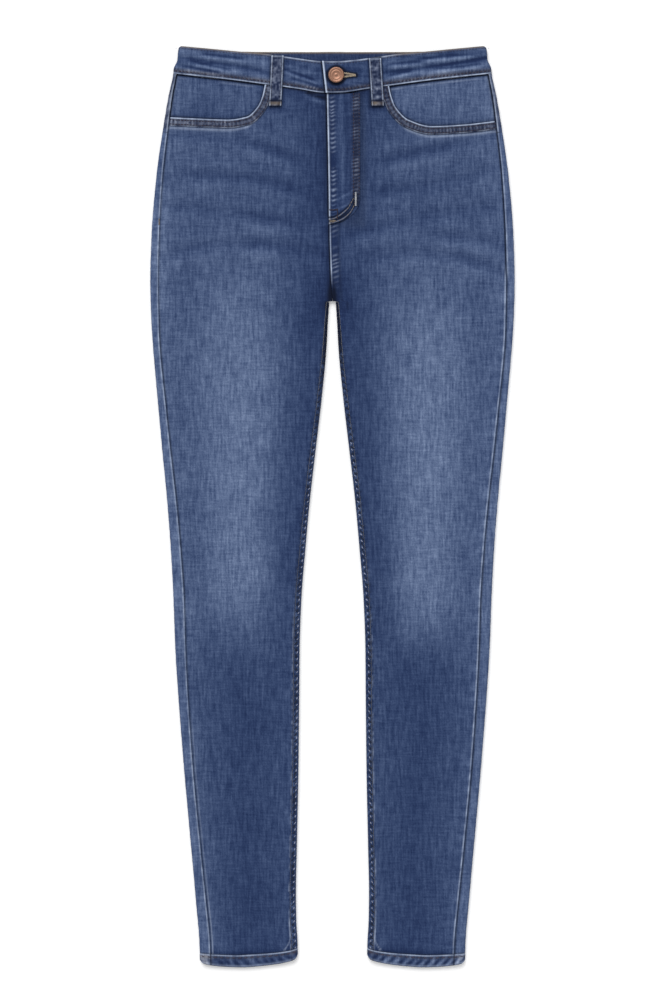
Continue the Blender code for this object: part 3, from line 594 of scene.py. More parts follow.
# Lift and colour layers of a front at a point of its face
def frontLooks(side, x, y):
    across = x * side
    start = frontStart(side, y)
    end = frontEnd(y)
    a = across - start
    b = end - across
    share = np.clip(b / np.maximum(end - start, 1.0), 0.0, 1.0)
    tone = legTone(side, x, y, share)
    creaseLift, creaseTone = whiskerLiftAndShading(x, y)
    leg = ease((crotch - 4.0 - y) / 10.0)
    shift = seamShift(side, y)
    puckers = pleats(y, fade["puckerPitch"][side], 70 + side) - 0.45
    inPuckers = pleats(y, fade["ropePitch"], 74 + side) - 0.4
    fadeOut = np.exp(-np.maximum(b - 2.5, 0.0) / 4.6) * (0.35 + 0.9 * shift)
    fadeIn = np.exp(-np.maximum(a - 0.5, 0.0) / 2.6) * leg
    # Puckers along both seams: raised, with paler crests and darker troughs, partly fade and partly painted
    # highlight and shade
    lift = creaseLift + 0.40 * puckers * fadeOut + 0.30 * inPuckers * fadeIn
    lift += 0.25 * patches(x, y, 30.0, 55.0, 80 + side)
    tone += creaseTone + 0.55 * puckers * fadeOut + 0.45 * inPuckers * fadeIn
    rub = 0.50 * shift * ridge(b - 1.2, 0.58) * (0.75 + 0.45 * wander(y, 5.0, 85 + side))
    rub += ((1 - shift) * (0.14 * ease((-220.0 - y) / 30.0) + 0.16 * ease((-400.0 - y) / 40.0))
            * ridge(b - 2.2, 0.6))
    rub += (leg * 0.26 * ease((-40.0 - y) / 120.0) * ridge(a - 1.1, 0.6)
            * (0.4 + 0.9 * wander(y, 4.0, 87 + side)))
    hipEdge = ease((y - 180.0) / 50.0) * ease((372.0 - y) / 40.0) * (side < 0)
    tone += 0.34 * hipEdge * np.exp(-np.maximum(b - 1.5, 0.0) / 8.0)
    # Painted shade in the grooves along the outseam and the inseam, and between the rope puckers beside the
    # inseam
    deep = 0.92 if side > 0 else 0.66 - 0.30 * hipEdge
    dark = (1 - shift) * (deep - 0.2 * (y < -100.0)) * ridge(b - 0.5, 0.95) + 0.2 * shift * ridge(b, 0.4)
    dark += leg * 0.40 * ridge(a, 0.7) * ease((200.0 - y) / 20.0)
    ropeHollowShade = np.clip(1.2 * pleats(y - 0.7 * a, 7.3, 76 + side) - 0.2, 0, 1) * ease((y + 330.0) / 120.0)
    dark += leg * 0.62 * ropeHollowShade * ridge(a - 1.4, 1.5) * ease((178.0 - y) / 14.0)
    # Shade under the crotch and beside the centre seam
    well = ridge(y - crotch, 32.0) * bank(across - 6.0, 26.0)
    tone -= 0.42 * well
    dark += 0.95 * bank(y - crotch - 6.0, 13.0) * bank(across - 2.0, 3.6) * (1 - leg)
    strip = (1 - leg) * ease((flyBottom + 4.0 - y) / 6.0)
    seamPuckers = pleats(y, 5.2, 90) - 0.4
    # Beside the fly: crests with painted highlight and shade, and painted shade in the stitch grooves and
    # under the fly
    if side > 0:
        crests = dashes(y - 0.35 * a, 5.4, 90)
        curled = strip * ridge(a - 5.2, 3.2) * ease((y - crotch - 12.0) / 22.0)
        tone += curled * (0.7 * crests - 0.55 * (1 - crests))
        rub += 0.30 * curled * crests
        lift += strip * ridge(a - 4.6, 3.0) * 0.4 * (1 + seamPuckers)
        dark += strip * (0.60 * ridge(a - 8.8, 0.9) + 0.30 * ridge(a - 2.4, 0.6))
        rub += (strip * 0.72 * ridge(a - 0.8, 0.6) * ease((y - crotch - 14.0) / 18.0)
                * (0.8 + 0.3 * wander(y, 8.0, 91)))
        dark += 0.34 * ease((y - flyBottom + 10) / 14.0) * bank(across - 31.0, 5.0)
    else:
        tone -= 0.25 * strip * ridge(a, 5.0)
        # Painted shadow cast by the fly's free edge onto the right front
        beside = ease((y - flyBottom) / 12.0)
        fromFly = across + flyFreeEdge(y)
        dark += beside * (0.92 * bank(fromFly - 0.6, 1.1) + 0.25 * ridge(fromFly, 6.0))
        dark += strip * (0.85 * ridge(a - 0.3, 1.0) + 0.2 * ridge(a, 5.0))
        tone -= 0.2 * beside * ridge(fromFly, 16.0)
    # Painted shadow above the hem, where its fold overhangs the leg
    hemOff = y - hemSeam(across)
    tone -= (0.34 + 0.3 * wander(x, 13.0, 89 + side)) * ridge(hemOff - 1.6, 2.8)
    rub += 0.22 * ease((-428.0 - y) / 22.0) * ridge(a - 1.0 - 7.0 * ridge(hemOff, 7.0), 0.8)
    mouthOff = pocketMouth[side](across) - y
    near = ease((across - mouthStart[side] + 6.0) / 8.0)
    under = near * ridge(mouthOff - 11.5, 1.3)
    rub += 0.26 * under
    lift += near * 0.3 * ridge(mouthOff - 13.5, 3.0)
    tone += near * 0.12 * ridge(mouthOff - 14.0, 4.0)
    # Painted shade under the waistband's lower edge, with a tuck's painted shade and highlight beside the fly
    # on the right front
    seamOff = waistSeam(across) - y
    dark += 0.95 * bank(seamOff - 1.0, 1.1) * (across < mouthStart[side] + 6.0)
    if side < 0:
        t = np.clip((32.0 - across) / 22.0, 0.0, 1.0)
        tuck = ease((34.0 - across) / 8.0) * (across > 0)
        dark += 0.95 * tuck * ridge(seamOff - 1.8 - 3.4 * t, 1.0 + 0.9 * t)
        tone += 0.55 * tuck * ridge(seamOff - 6.0 - 4.0 * t, 2.2)
    # Broader painted shade below the waist seam
    tone -= 0.28 * ridge(seamOff, 9.0)
    # Painted shadow beside and under the belt loops' feet
    for name, (_, _, footX, footY) in frontLoops.items():
        if sides[name] == side:
            beside = np.maximum(np.abs(x - footX) - loopHalf, 0.0)
            dark += (0.75 * ridge(beside, 1.4) * ridge(np.minimum(y - footY, 0.0), 2.0)
                     * (y < waistSeam(across)))
            tone -= 0.3 * ridge(beside, 5.0) * ridge(np.minimum(y - footY + 2.0, 0.0), 5.0)
    return lift, {"tone": tone, "rub": rub, "dark": np.clip(dark, 0, 0.95)}


frontLoops = {"Left": (45.7, 481.6, 48.8, loopBelow), "Right": (-59.0, 484.6, -61.5, loopBelow)}


# Fronts

front = {"rowStep": 2.3, "columns": 28, "top": 452.0, "bottom": -482.0}
nearSeam = [0.0, 0.5, 1.0, 1.5, 2.0, 2.6, 3.3, 4.2, 5.5, 7.2, 9.5, 12.5]


# Columns across a piece: close together at both edges, even between
def shareOut(start, end):
    first = start[..., None] + np.array(nearSeam)
    last = end[..., None] - np.array(nearSeam[::-1])
    t = np.arange(1, front["columns"]) / front["columns"]
    middle = first[..., -1:] + (last[..., :1] - first[..., -1:]) * t
    return np.concatenate([first, middle, last], axis=-1)


def frontGrid(side):
    ends = front["bottom"], front["top"]
    nominal = np.linspace(*ends, int((ends[1] - ends[0]) / front["rowStep"]))
    besideFly = np.arange(232.0, 305.0, 1.15)
    nominal = np.sort(np.concatenate([nominal, [crotch - crotchStep, crotch + crotchStep], besideFly]))
    y = np.repeat(nominal[:, None], 2 * len(nearSeam) + front["columns"] - 1, axis=1)
    for _ in range(6):
        columns = np.arange(y.shape[1])[None, :, None]
        x = np.take_along_axis(shareOut(frontStart(side, y), frontEnd(y)), columns, axis=2)[..., 0]
        y = bend(nominal[:, None], x, lambda v: hemSeam(v) + gap, hemRun, lambda v: frontTop(side, v), 72.0,
                 ends)
    return onFace(x * side, y)


for label, side in sides.items():
    grid = frontGrid(side)
    lift, looks = frontLooks(side, grid[..., 0], grid[..., 1])
    addCloth("frontPanel" + label, grid, denimWall, side > 0, denimFinish, looks, lift=lift)
print("fronts made")


# Backs, which show as strips along both seams of a leg

back = {"rowStep": 2.3, "bottom": -482.0, "top": 380.0, "yokeTop": 455.0, "yokeRows": 38, "arcSteps": 7,
        "flatSteps": 30}


# Sections of a back piece at heights y, as (x, z) with x towards the side. Columns:
# the inseam strip, the inner fold, the underside, the outer fold, the outseam strip
def backSection(side, y, lift):
    leg = y < crotch
    turn = innerFold(y)
    inner = innerEdge(y)
    outer = outerEdge(y)
    stripIn = inner + innerStrip(y) - gap / 2
    stripOut = outer - outerStrip(y) + gap / 2
    xs, zs = [], []
    for t in (0.0, 0.25, 0.55):
        x = stripIn + (inner + turn - stripIn) * t
        xs.append(np.where(leg, x, np.nan))
        zs.append(faceHeight(x * side, y))
    for angle in np.linspace(math.pi / 2, 3 * math.pi / 2, back["arcSteps"]):
        xs.append(np.where(leg, inner + turn + turn * math.cos(angle), np.nan))
        zs.append(turn + turn * math.sin(angle))
    flatStart = np.where(leg, inner + turn, gap / 2)
    flatEnd = outer - fold
    for t in np.linspace(0.0, 1.0, back["flatSteps"])[1:-1]:
        x = flatStart + (flatEnd - flatStart) * t
        xs.append(x)
        zs.append(lift(x, y))
    xs.insert(3 + back["arcSteps"], np.where(leg, np.nan, flatStart))
    zs.insert(3 + back["arcSteps"], lift(flatStart, y))
    for angle in np.linspace(-math.pi / 2, math.pi / 2, back["arcSteps"] + 1):
        xs.append(flatEnd + fold * math.cos(angle))
        zs.append(fold + fold * math.sin(angle))
    for t in (0.25, 0.45, 0.6, 0.7, 0.8, 0.88, 0.94, 1.0):
        x = flatEnd + (stripOut - flatEnd) * t
        xs.append(x)
        zs.append(faceHeight(x * side, y))
    return [x + 0.0 * y for x in xs], [z + 0.0 * y for z in zs]


def backGrid(side, nominal, lift, low, lowRun, high, highRun):
    first = backSection(side, nominal, lift)
    columns = []
    for i in range(len(first[0])):
        y = nominal.copy()
        for _ in range(4):
            xs, zs = backSection(side, y, lift)
            x = np.where(np.isfinite(xs[i]), xs[i], 0.0)
            y = bend(nominal, x, low, lowRun, high, highRun, (nominal[0], nominal[-1]))
        xs, zs = backSection(side, y, lift)
        columns.append(np.stack([xs[i] * side, y, zs[i]], axis=-1))
    return np.stack(columns, axis=1)


# The outseam strip is paler and puckered, with a dark rim of painted shade; the inseam strip is roped, with
# painted shade in the hollows between the ropes and towards the crotch
def backLooks(side, grid):
    x, y, z = grid[..., 0], grid[..., 1], grid[..., 2]
    across = np.nan_to_num(x * side, nan=0.0)
    outer = outerEdge(y)
    rim = outer - across
    b = across - (outer - outerStrip(y))
    above = z > 1.5
    onOuter = above & (rim < 16.0)
    onInner = above & ~onOuter
    share = np.clip((outer - across) / 150.0, 0, 1)
    under = legTone(side, 7.0 - 0.9 * side * across, y, np.clip(0.15 + share * 0.7, 0, 1)) * 0.9
    shift = seamShift(side, y)
    puckers = pleats(y, fade["puckerPitch"][side], 70 + side) - 0.45
    small = pleats(y, 5.6, 95 + side) - 0.4
    tone = 0.88 - 0.16 * ease((-100.0 - y) / 90.0) + (0.10 if side < 0 else -0.14) * ease((y - 230.0) / 80.0)
    tone -= (0.26 if side < 0 else 0.0) * ease((y - 290.0) / 60.0)
    tone = np.where(onOuter, tone + (0.18 if side > 0 else 0.50) * puckers * ridge(b, 6.0) + 0.14 * small,
                    under)
    spots = ease((y - 400.0) / 12.0)
    tone = np.where(onOuter, tone + spots * 1.3 * (pleats(y + 0.6 * b, 10.5, 97 + side) - 0.45), tone)
    rub = np.where(onOuter, (1 - shift) * 0.46 * ridge(b - 1.2, 0.58)
                   * (0.75 + 0.45 * wander(y, 4.5, 99 + side)), 0.0)
    # Painted shade on the rounded rim and in the outseam groove
    dark = np.where(onOuter, 0.22 * bank(rim - 0.1, 0.9) + shift * 0.68 * ridge(b - 0.6, 0.95)
                    + (1 - shift) * 0.2 * ridge(b, 0.4), 0.0)
    a = innerEdge(y) + innerStrip(y) - across
    rope = pleats(y + 0.9 * a, fade["ropePitch"], 74 + side)
    tone = np.where(onInner, -0.05 + 0.75 * rope, tone)
    # Painted shade in the hollows between the ropes, and strongly near the crotch
    hollow = 0.90 * (1 - rope) ** 1.6 * ridge(a - 2.6, 2.2) * (0.8 + 0.3 * wander(y, 21.0, 93 + side))
    hollow = hollow + 0.30 * ridge(a, 0.6) + 0.35 * ridge(across - innerEdge(y), 1.2)
    dark = np.where(onInner, hollow, dark) + onInner * 0.9 * ease((y - 140.0) / 50.0)
    worn = np.where(onOuter, spots * (0.45 if side < 0 else 0.30) + onInner * 0.1, 0.0)
    rub += np.where(above, 0.0, 0.35 * ridge(y - yokeSeam(across), 1.2))
    lift = (np.where(onOuter, 0.24 * puckers + 0.12 * small, 0.0)
            + np.where(onInner, 0.3 * (rope - 0.5) * ridge(a - 2.9, 1.8), 0.0))
    return lift, {"tone": tone, "rub": rub, "dark": np.clip(dark, 0, 0.95), "worn": worn, "shade": 0.8}


for label, side in sides.items():
    nominal = np.linspace(back["bottom"], back["top"],
                          round((back["top"] - back["bottom"]) / back["rowStep"]))
    nominal = np.sort(np.concatenate([nominal, [crotch - crotchStep, crotch + crotchStep]]))
    grid = backGrid(side, nominal, pocketRaise, lambda v: hemSeam(v) + gap, hemRun,
                    lambda v: yokeSeam(v) - gap, 15.0)
    lift, looks = backLooks(side, grid)
    addCloth("backPanel" + label, grid, denimWall, side < 0, denimFinish, looks, lift=lift)
    nominal = np.linspace(yokeCentre, back["yokeTop"], back["yokeRows"])
    grid = backGrid(side, nominal, loopUnder, yokeSeam, 60.0, lambda v: backSeam(v) - gap, 20.0)
    lift, looks = backLooks(side, grid)
    addCloth("backYoke" + label, grid, denimWall, side < 0, denimFinish, looks, lift=lift)
print("backs made")


# Patch pockets of the back, lying on the floor

patch = {"rows": 50, "columns": 40, "tone": 0.55}


def patchGrid(side):
    inner, outer, low, high = pocketBox
    rows = []
    for t in np.linspace(0.0, 1.0, patch["rows"]):
        y = low + pocketInset + (high - low - 2 * pocketInset) * t
        if y < pocketCorner:
            s = (y - low - pocketInset) / (pocketCorner - low - pocketInset)
            half = max((outer - inner) / 2 - pocketTaper, 0.5) * max(s, 0.01)
        else:
            s = (y - pocketCorner) / (high - pocketInset - pocketCorner)
            half = (outer - inner) / 2 - pocketTaper + (pocketTaper - pocketInset) * s
        x = side * ((inner + outer) / 2 + half * np.linspace(-1.0, 1.0, patch["columns"]))
        rows.append(np.stack([x, np.full_like(x, y), np.zeros_like(x)], axis=-1))
    return np.array(rows)


for label, side in sides.items():
    grid = patchGrid(side)
    x, y = grid[..., 0], grid[..., 1]
    middle = (pocketBox[0] + pocketBox[1]) / 2
    edge = np.minimum(np.abs(np.abs(x * side - middle) - 60.0), np.abs(y - 362.0))
    looks = {"tone": patch["tone"] + 0.12 * patches(x, y, 30.0, 40.0, 120 + side) + 0.25 * ridge(edge, 2.5)}
    addCloth("backPatch" + label, grid, stripWall, side < 0, denimFinish, looks)


# Pocket facings and bound edges

facing = {"rows": ((0.0, 0.84, 24), (0.86, 1.0, 12)), "columns": 64, "tone": {1: 0.70, -1: 0.50}}


def facingGrid(side):
    start = mouthStart[side] - 6.0
    t = np.linspace(0.0, 1.0, facing["columns"])
    rows = []
    for share in runs(*facing["rows"]):
        x = start + (165.0 - start) * t
        for _ in range(5):
            high = waistSeam(x) - gap
            low = np.minimum(pocketMouth[side](x) - 12.0, high - 12.0)
            y = low + share * (high - low)
            end = outerEdge(y[-1]) - outerStrip(y[-1]) - gap
            x = start + (end - start) * t
        rows.append(onFace(side * x, y, -denimWall - gap))
    return np.array(rows)


for label, side in sides.items():
    grid = facingGrid(side)
    x, y = grid[..., 0], grid[..., 1]
    across = x * side
    offMouth = y - pocketMouth[side](across)
    offSeam = waistSeam(across) - y
    offSide = frontEnd(y) - across
    offStart = across - mouthStart[side] - (451.0 - y) * 0.22
    nearMouth = np.minimum(np.abs(offMouth), np.maximum(offStart, 0.0) * 1.4)
    tone = facing["tone"][side] + 0.10 * patches(x, y, 34.0, 20.0, 130 + side)
    # Painted shade near the mouth, under the waist seam and at the side seam
    tone = tone - 0.28 * ridge(nearMouth, 7.0) - 0.2 * ridge(offSeam, 6.0) + 0.16 * ridge(offSide - 6.0, 8.0)
    dark = 0.95 * bank(offSeam - 1.0, 1.0) + 0.75 * bank(nearMouth - 0.3, 1.2) + 0.9 * ridge(offSide, 1.2)
    rub = (0.22 * ridge(offSeam - 4.0, 0.9) * (0.4 + 0.6 * wander(x, 9.0, 131))
           + 0.06 * ridge(offSide - 2.2, 0.6))
    lift = 0.25 * patches(x, y, 24.0, 14.0, 132 + side)
    addCloth("pocketFacing" + label, grid, stripWall, side > 0, denimFinish,
             {"tone": tone, "dark": np.clip(dark, 0, 0.9), "rub": rub}, lift=lift)


# Points along a pocket mouth with the direction into the front, evenly spaced
def mouthTrace(side, step=1.1):
    x = np.linspace(mouthStart[side], 174.0, 1600)
    y = np.minimum(pocketMouth[side](x), waistSeam(x) - gap)
    keep = x <= outerEdge(y) - outerStrip(y) - gap
    x, y = x[keep], y[keep]
    along = np.concatenate([[0.0], np.cumsum(np.hypot(np.diff(x), np.diff(y)))])
    count = int(along[-1] / step)
    places = np.linspace(0.0, along[-1], count)
    x = np.interp(places, along, x)
    y = np.interp(places, along, y)
    dx = np.gradient(x)
    dy = np.gradient(y)
    for _ in range(3):
        dx[1:-1] = (dx[:-2] + dx[1:-1] + dx[2:]) / 3
        dy[1:-1] = (dy[:-2] + dy[1:-1] + dy[2:]) / 3
    run = np.hypot(dx, dy)
    return x, y, dy / run, -dx / run, places


edging = {"tone": {1: 0.22, -1: 0.42}, "specks": 0.60, "puckers": 1.05}


def edgeGrid(side):
    x, y, inX, inY, places = mouthTrace(side)
    rows = []
    offsets = []
    for offset in np.array([9.2, 8.8, 8.2, 7.4, 6.4, 5.4, 4.4, 3.4, 2.6, 1.9, 1.3, 0.8, 0.4, 0.0]):
        px = x + inX * (offset + gap)
        py = y + inY * (offset + gap)
        px = np.minimum(px, outerEdge(py) - outerStrip(py) - gap)
        py = np.minimum(py, waistSeam(px) - gap - 0.003 * np.arange(len(px)))
        rows.append(onFace(side * px, py, gap + stripWall))
        offsets.append(np.full(len(px), offset))
    return np.array(rows), np.array(offsets), np.broadcast_to(places, (len(rows), len(places)))


for label, side in sides.items():
    grid, offset, places = edgeGrid(side)
    puckers = pleats(places, 4.3, 140 + side) - 0.4
    speck = patches(places, offset, 1.9, 1.6, 143 + side)
    rub = 0.95 * ridge(offset - 0.8, 0.45) * (0.85 + 0.25 * wander(places, 9.0, 144))
    rub += (0.22 * dashes(places, 3.9, 146 + side) * ridge(offset - 5.0, 2.8)
            * (0.5 + 0.6 * wander(places, 17.0, 147 + side)))
    rub += 0.36 * ridge(offset - 8.7, 0.45) * (0.5 + 0.8 * wander(places, 6.0, 141))
    # Puckers with paler crests and darker troughs, partly fade and partly painted highlight and shade
    tone = (edging["tone"][side] + edging["puckers"] * puckers * ridge(offset - 5.0, 4.0)
            + 0.22 * wander(places, 11.0, 142 + side) + edging["specks"] * speck)
    lift = (0.30 * puckers * ridge(offset - 5.0, 3.4) - 0.4 * ridge(offset - 9.2, 0.6)
            - 0.2 * ridge(offset, 0.4))
    addCloth("pocketEdge" + label, grid, stripWall, side > 0, denimFinish,
             {"tone": tone, "rub": rub, "worn": 0.50 * ease(offset / 2.0),
              "dark": 0.45 * ridge(offset - 2.3, 0.5) + 0.4 * ridge(offset - 7.4, 0.6)},
             lift=lift)
print("pockets made")


# Fly

fly = {"rows": 160, "crowding": 1.25, "tone": 0.02, "edge": 1.0}


def flyGrid():
    t = np.linspace(0.0, 1.0, fly["rows"])
    heights = flyFoot + (flyTop - flyFoot) * t ** fly["crowding"]
    left = flyFreeEdge(heights)
    right = flyStitchedEdge(heights)
    cols = np.concatenate([[0.0, 0.5, 1.0, 1.6, 2.4, 3.4, 4.6, 6.0, 7.6, 9.4], np.linspace(11.4, 35.0, 22)])
    share = cols / 35.0
    x = left[:, None] + (right - left)[:, None] * share[None, :]
    y = np.minimum(heights[:, None], waistSeam(np.abs(x)) - gap)
    return onFace(x, y, gap + denimWall)


grid = flyGrid()
x, y = grid[..., 0], grid[..., 1]
a = x - flyFreeEdge(y)
toStitch = flyStitchedEdge(y) - x
stitchPuckers = pleats(y - 0.2 * a, 3.9, 152) - 0.4
upper = ease((y - 318.0) / 12.0)
crests = dashes(y + 0.5 * wander(a, 3.0, 156) + 1.3 * ridge(a - 4.6, 2.2), 4.6, 150)
# Pucker crests paler and troughs darker beside the stitching: fade with painted highlight and shade
tone = (fly["tone"] - 0.45 * (1 - crests) * ridge(a - 5.4, 3.0) + 0.7 * crests * ridge(a - 5.4, 2.8)
        + 0.42 * ridge(a - 15.2, 2.2) * ease((y - 322.0) / 30.0))
tone += upper * 1.5 * stitchPuckers * ridge(toStitch - 4.4, 4.0) + 0.12 * patches(x, y, 9.0, 26.0, 153)
tone = tone - 0.12 * ridge(a - 20.5, 3.0) + 0.1 * ridge(toStitch - 1.0, 2.0)
# Folds that run down from the J's foot, as pale lines of painted highlight
for fx, fy, tx, ty in ((4.8, 329.5, 22.0, 339.2), (4.8, 318.7, 22.0, 327.3)):
    t = np.clip((x - fx) / (tx - fx), -0.1, 1.1)
    tone += 0.55 * ridge(y - (fy + (ty - fy) * t), 1.5) * ease((t + 0.1) / 0.2) * ease((1.1 - t) / 0.2)
rub = (fly["edge"] * ridge(a - 0.8, 0.68) * (0.88 + 0.14 * wander(y, 6.0, 154))
       + 0.30 * crests * ridge(a - 5.6, 2.3) * ease((y - 322.0) / 10.0))
turnRows = [curve([(-2.5, 304.6), (3.4, 306.2), (9.5, 308.4), (15.4, 312.4), (20.4, 318.0), (24.0, 325.5)]),
            curve([(-2.5, 308.6), (1.0, 309.4), (6.0, 311.8), (11.2, 315.6), (17.0, 321.0), (22.0, 330.0)])]
inTurn = ease((331.0 - y) / 3.0) * ease((26.0 - x) / 2.0)
# Painted shade beside the J's turn rows, round the bar tack and under the waistband
dark = (inTurn
        * sum(0.95 * ridge(y - row(x) - 2.0, 1.3) + 0.95 * ridge(y - row(x) + 2.0, 1.3) for row in turnRows))
rub += 0.30 * inTurn * sum(ridge(y - row(x), 0.6) for row in turnRows)
dark += 0.95 * (ridge(x - 27.2, 1.0) + ridge(x - 22.8, 0.9)) * bank(np.abs(y - 330.0) - 5.5, 3.0)
dark += 0.35 * ridge(a - 2.8, 0.6) + 0.9 * bank(waistSeam(np.abs(x)) - y - 0.8, 1.0)
lift = (0.35 * crests * ridge(a - 5.0, 3.0) + upper * 0.32 * stitchPuckers * ridge(toStitch - 5.0, 4.0)
        + 0.2 * ridge(a - 14.6, 2.6))
lift = lift - 0.80 * ridge(toStitch, 2.2) - 0.25 * ridge(a, 0.4) + 0.15 * ridge(a - 1.2, 1.0)
worn = 0.55 * upper * ridge(toStitch - 4.4, 4.0)
addCloth("flyFlap", grid, denimWall, True, denimFinish,
         {"tone": tone, "rub": rub, "dark": np.clip(dark, 0, 0.92), "worn": worn}, lift=lift)


# Waistband

band = {
    "rows": ((0.0, 0.06, 6), (0.08, 0.2, 6), (0.22, 0.92, 30), (0.94, 1.0, 4)),
    "columns": ((0.0, 0.035, 9), (0.04, 0.23, 46), (0.24, 1.0, 70)),
    "tone": {1: 0.32, -1: 0.48},
    "creases": {1: 0.68, -1: 0.80},
}


def jointUnder(share):
    y = 475.0
    for _ in range(5):
        x = float(bandJoin(y))
        low = float(backSeam(x))
        y = low + share * (float(bandBackEdge(x)) - low)
    return x, y


def bandGrid(side):
    shares = runs(*band["rows"])
    t = runs(*band["columns"])
    rows = []
    for share in shares:
        x = 170.0 * t
        y = np.full_like(t, 470.0)
        for _ in range(6):
            start = lapEdge(y) if side > 0 else np.full_like(t, underlap)
            x = start + (outerEdge(y) - fold - start) * t
            low = waistSeam(np.abs(x))
            y = low + share * (bandFrontEdge(np.abs(x)) - low)
        row = [onBand(side * x, y, side)]
        high = float(bandFrontEdge(166.0))
        v = float(waistSeam(171.0)) * (1 - share) + share * high
        corner = 2.0 * float(ease((v - high + 4.0) / 4.0))
        reach = float(outerEdge(v))
        for angle in np.linspace(math.pi / 2, -math.pi / 2, 9)[1:]:
            px = reach - fold + fold * math.cos(angle)
            row.append(np.array([[side * px, v - corner * (px - reach + fold) / fold,
                                  fold + fold * math.sin(angle)]]))
        ux, uy = jointUnder(share)
        row.append(np.array([[side * ux, uy, 0.0]]))
        rows.append(np.concatenate(row))
    return np.array(rows)


def bandLooks(side, grid):
    x, y, z = grid[..., 0], grid[..., 1], grid[..., 2]
    across = np.abs(x)
    offSeam = y - waistSeam(across)
    offTop = bandFrontEdge(across) - y
    roping = pleats(x + 0.5 * offSeam * side, 4.1, 160 + side) - 0.4
    tone = (band["tone"][side] + 0.14 * patches(x, y, 22.0, 9.0, 161 + side)
            + 0.30 * patches(x, y, 15.0, 2.6, 168 + side))
    lift = np.zeros_like(x)
    # Crease troughs get painted shade and their flanks painted highlight
    for i, crease in enumerate(bandCreases):
        near, _ = creaseAt(crease, x, y, 2.0)
        above, _ = creaseAt(crease, x, y - 5.5, 4.2)
        below, _ = creaseAt(crease, x, y + 5.8, 4.2)
        strength = band["creases"][side] + 0.35 * wander(x, 24.0, 163 + i)
        tone += ((0.30 if side > 0 else 0.45) * above + 0.75 * below - 1.15 * near) * strength
        lift += (0.50 * below + 0.35 * above - 0.3 * near) * strength
    small = [(-150.0, 478.0, -112.0, 470.0, 0.0, 2.0, 0.4), (92.0, 480.5, 150.0, 486.0, 0.6, 2.2, 0.4),
             (-52.0, 470.0, -18.0, 458.0, 0.0, 2.0, 0.4), (-44.0, 460.0, -16.0, 452.0, 0.6, 1.8, 0.4),
             (60.0, 475.0, 96.0, 477.5, 0.8, 2.2, 0.3), (-164.0, 474.0, -118.0, 465.6, 0.4, 1.8, 0.3),
             (-140.0, 486.0, -96.0, 481.5, 0.3, 1.8, 0.3), (108.0, 470.0, 160.0, 476.0, -0.6, 1.8, 0.3),
             (60.0, 463.0, 84.0, 468.0, 0.3, 1.6, 0.3)]
    for crease in small:
        near, _ = creaseAt(crease, x, y, 1.5)
        below, _ = creaseAt(crease, x, y + 3.6)
        tone += 0.60 * below - 0.70 * near
        lift += 0.4 * below - 0.3 * near
    # The roping over the waist seam: paler crests and darker troughs, partly fade and partly painted
    # highlight and shade
    low = ridge(offSeam - 3.4, 2.6)
    tone += 0.85 * roping * low - 0.10 * low
    lift += 0.3 * roping * low - 0.3 * ridge(offTop, 0.6) - 0.15 * ridge(offSeam, 0.5)
    rub = ((0.92 - 0.42 * (side > 0) * ease((50.0 - x) / 8.0)) * ridge(offSeam - 0.8, 0.46)
           * (0.84 + 0.4 * wander(x, 6.0, 165 + side)))
    rub += (0.74 * ridge(offTop - 0.8, 0.6) * (0.70 + 0.4 * wander(x, 8.0, 166 + side))
            * ease((80.0 - across) / 25.0))
    worn = 0.62 * low + 0.4 * ridge(offTop, 2.4)
    tan = 0.75 * ridge(offTop - 0.2, 1.0) * ease((across - 50.0) / 30.0)
    dark = np.zeros_like(x)
    if side > 0:
        a = x - lapEdge(y)
        rub += ridge(a - 0.9, 0.85)
        dark += 0.35 * ridge(a - 3.0, 0.7)
        away = np.hypot(x - buttonAt[0], y - buttonAt[1])
        wedge = np.abs(y - holeAt) - (4.3 - 2.3 * np.clip((x - 11.0) / 13.0, 0, 1))
        dark += 0.95 * ridge(wedge, 1.3) * ease((x - 8.0) / 3.0) * ease((27.5 - x) / 1.5)
        dark += 0.95 * ridge(x - 26.4, 1.2) * (wedge < 0)
        # Painted shadow round the button, dark at its rim and fading outwards
        dark += 0.95 * bank(away - buttonRadius - 1.6, 1.2)
        tan += 0.70 * ease((-0.8 - wedge) / 1.0) * ease((x - 10.0) / 2.0) * ease((25.4 - x) / 1.5)
        tone -= 0.18 * bank(away - buttonRadius, 6.0)
        tone -= 0.10 * (x < 40.0)
    else:
        a = np.maximum(lapEdge(y) - x, 0.0)
        # Painted shadow cast by the overlapping left band
        dark += 0.92 * bank(a - 0.8, 1.3)
        tone -= 0.34 * ridge(a, 30.0)
    # Painted shadow beside the belt loops
    for name, (topX, topY, footX, footY) in frontLoops.items():
        if sides[name] == side:
            beside = np.maximum(np.abs(x - (topX + (footX - topX) * (topY - y) / (topY - footY))) - loopHalf,
                                0.0)
            dark += 0.7 * ridge(beside, 1.2)
            tone -= 0.25 * ridge(beside, 5.0)
    # Painted shade on the band's rounded outer edge
    dark += 0.4 * ridge(outerEdge(y) - across, 1.0)
    lift = np.where(z > 3.0, lift, 0.0)
    return lift, {"tone": tone, "rub": rub, "worn": worn, "tan": tan, "dark": np.clip(dark, 0, 0.92)}


for label, side in sides.items():
    grid = bandGrid(side)
    lift, looks = bandLooks(side, grid)
    addCloth("waistband" + label, grid, bandWall, side > 0, denimFinish, looks, lift=lift)

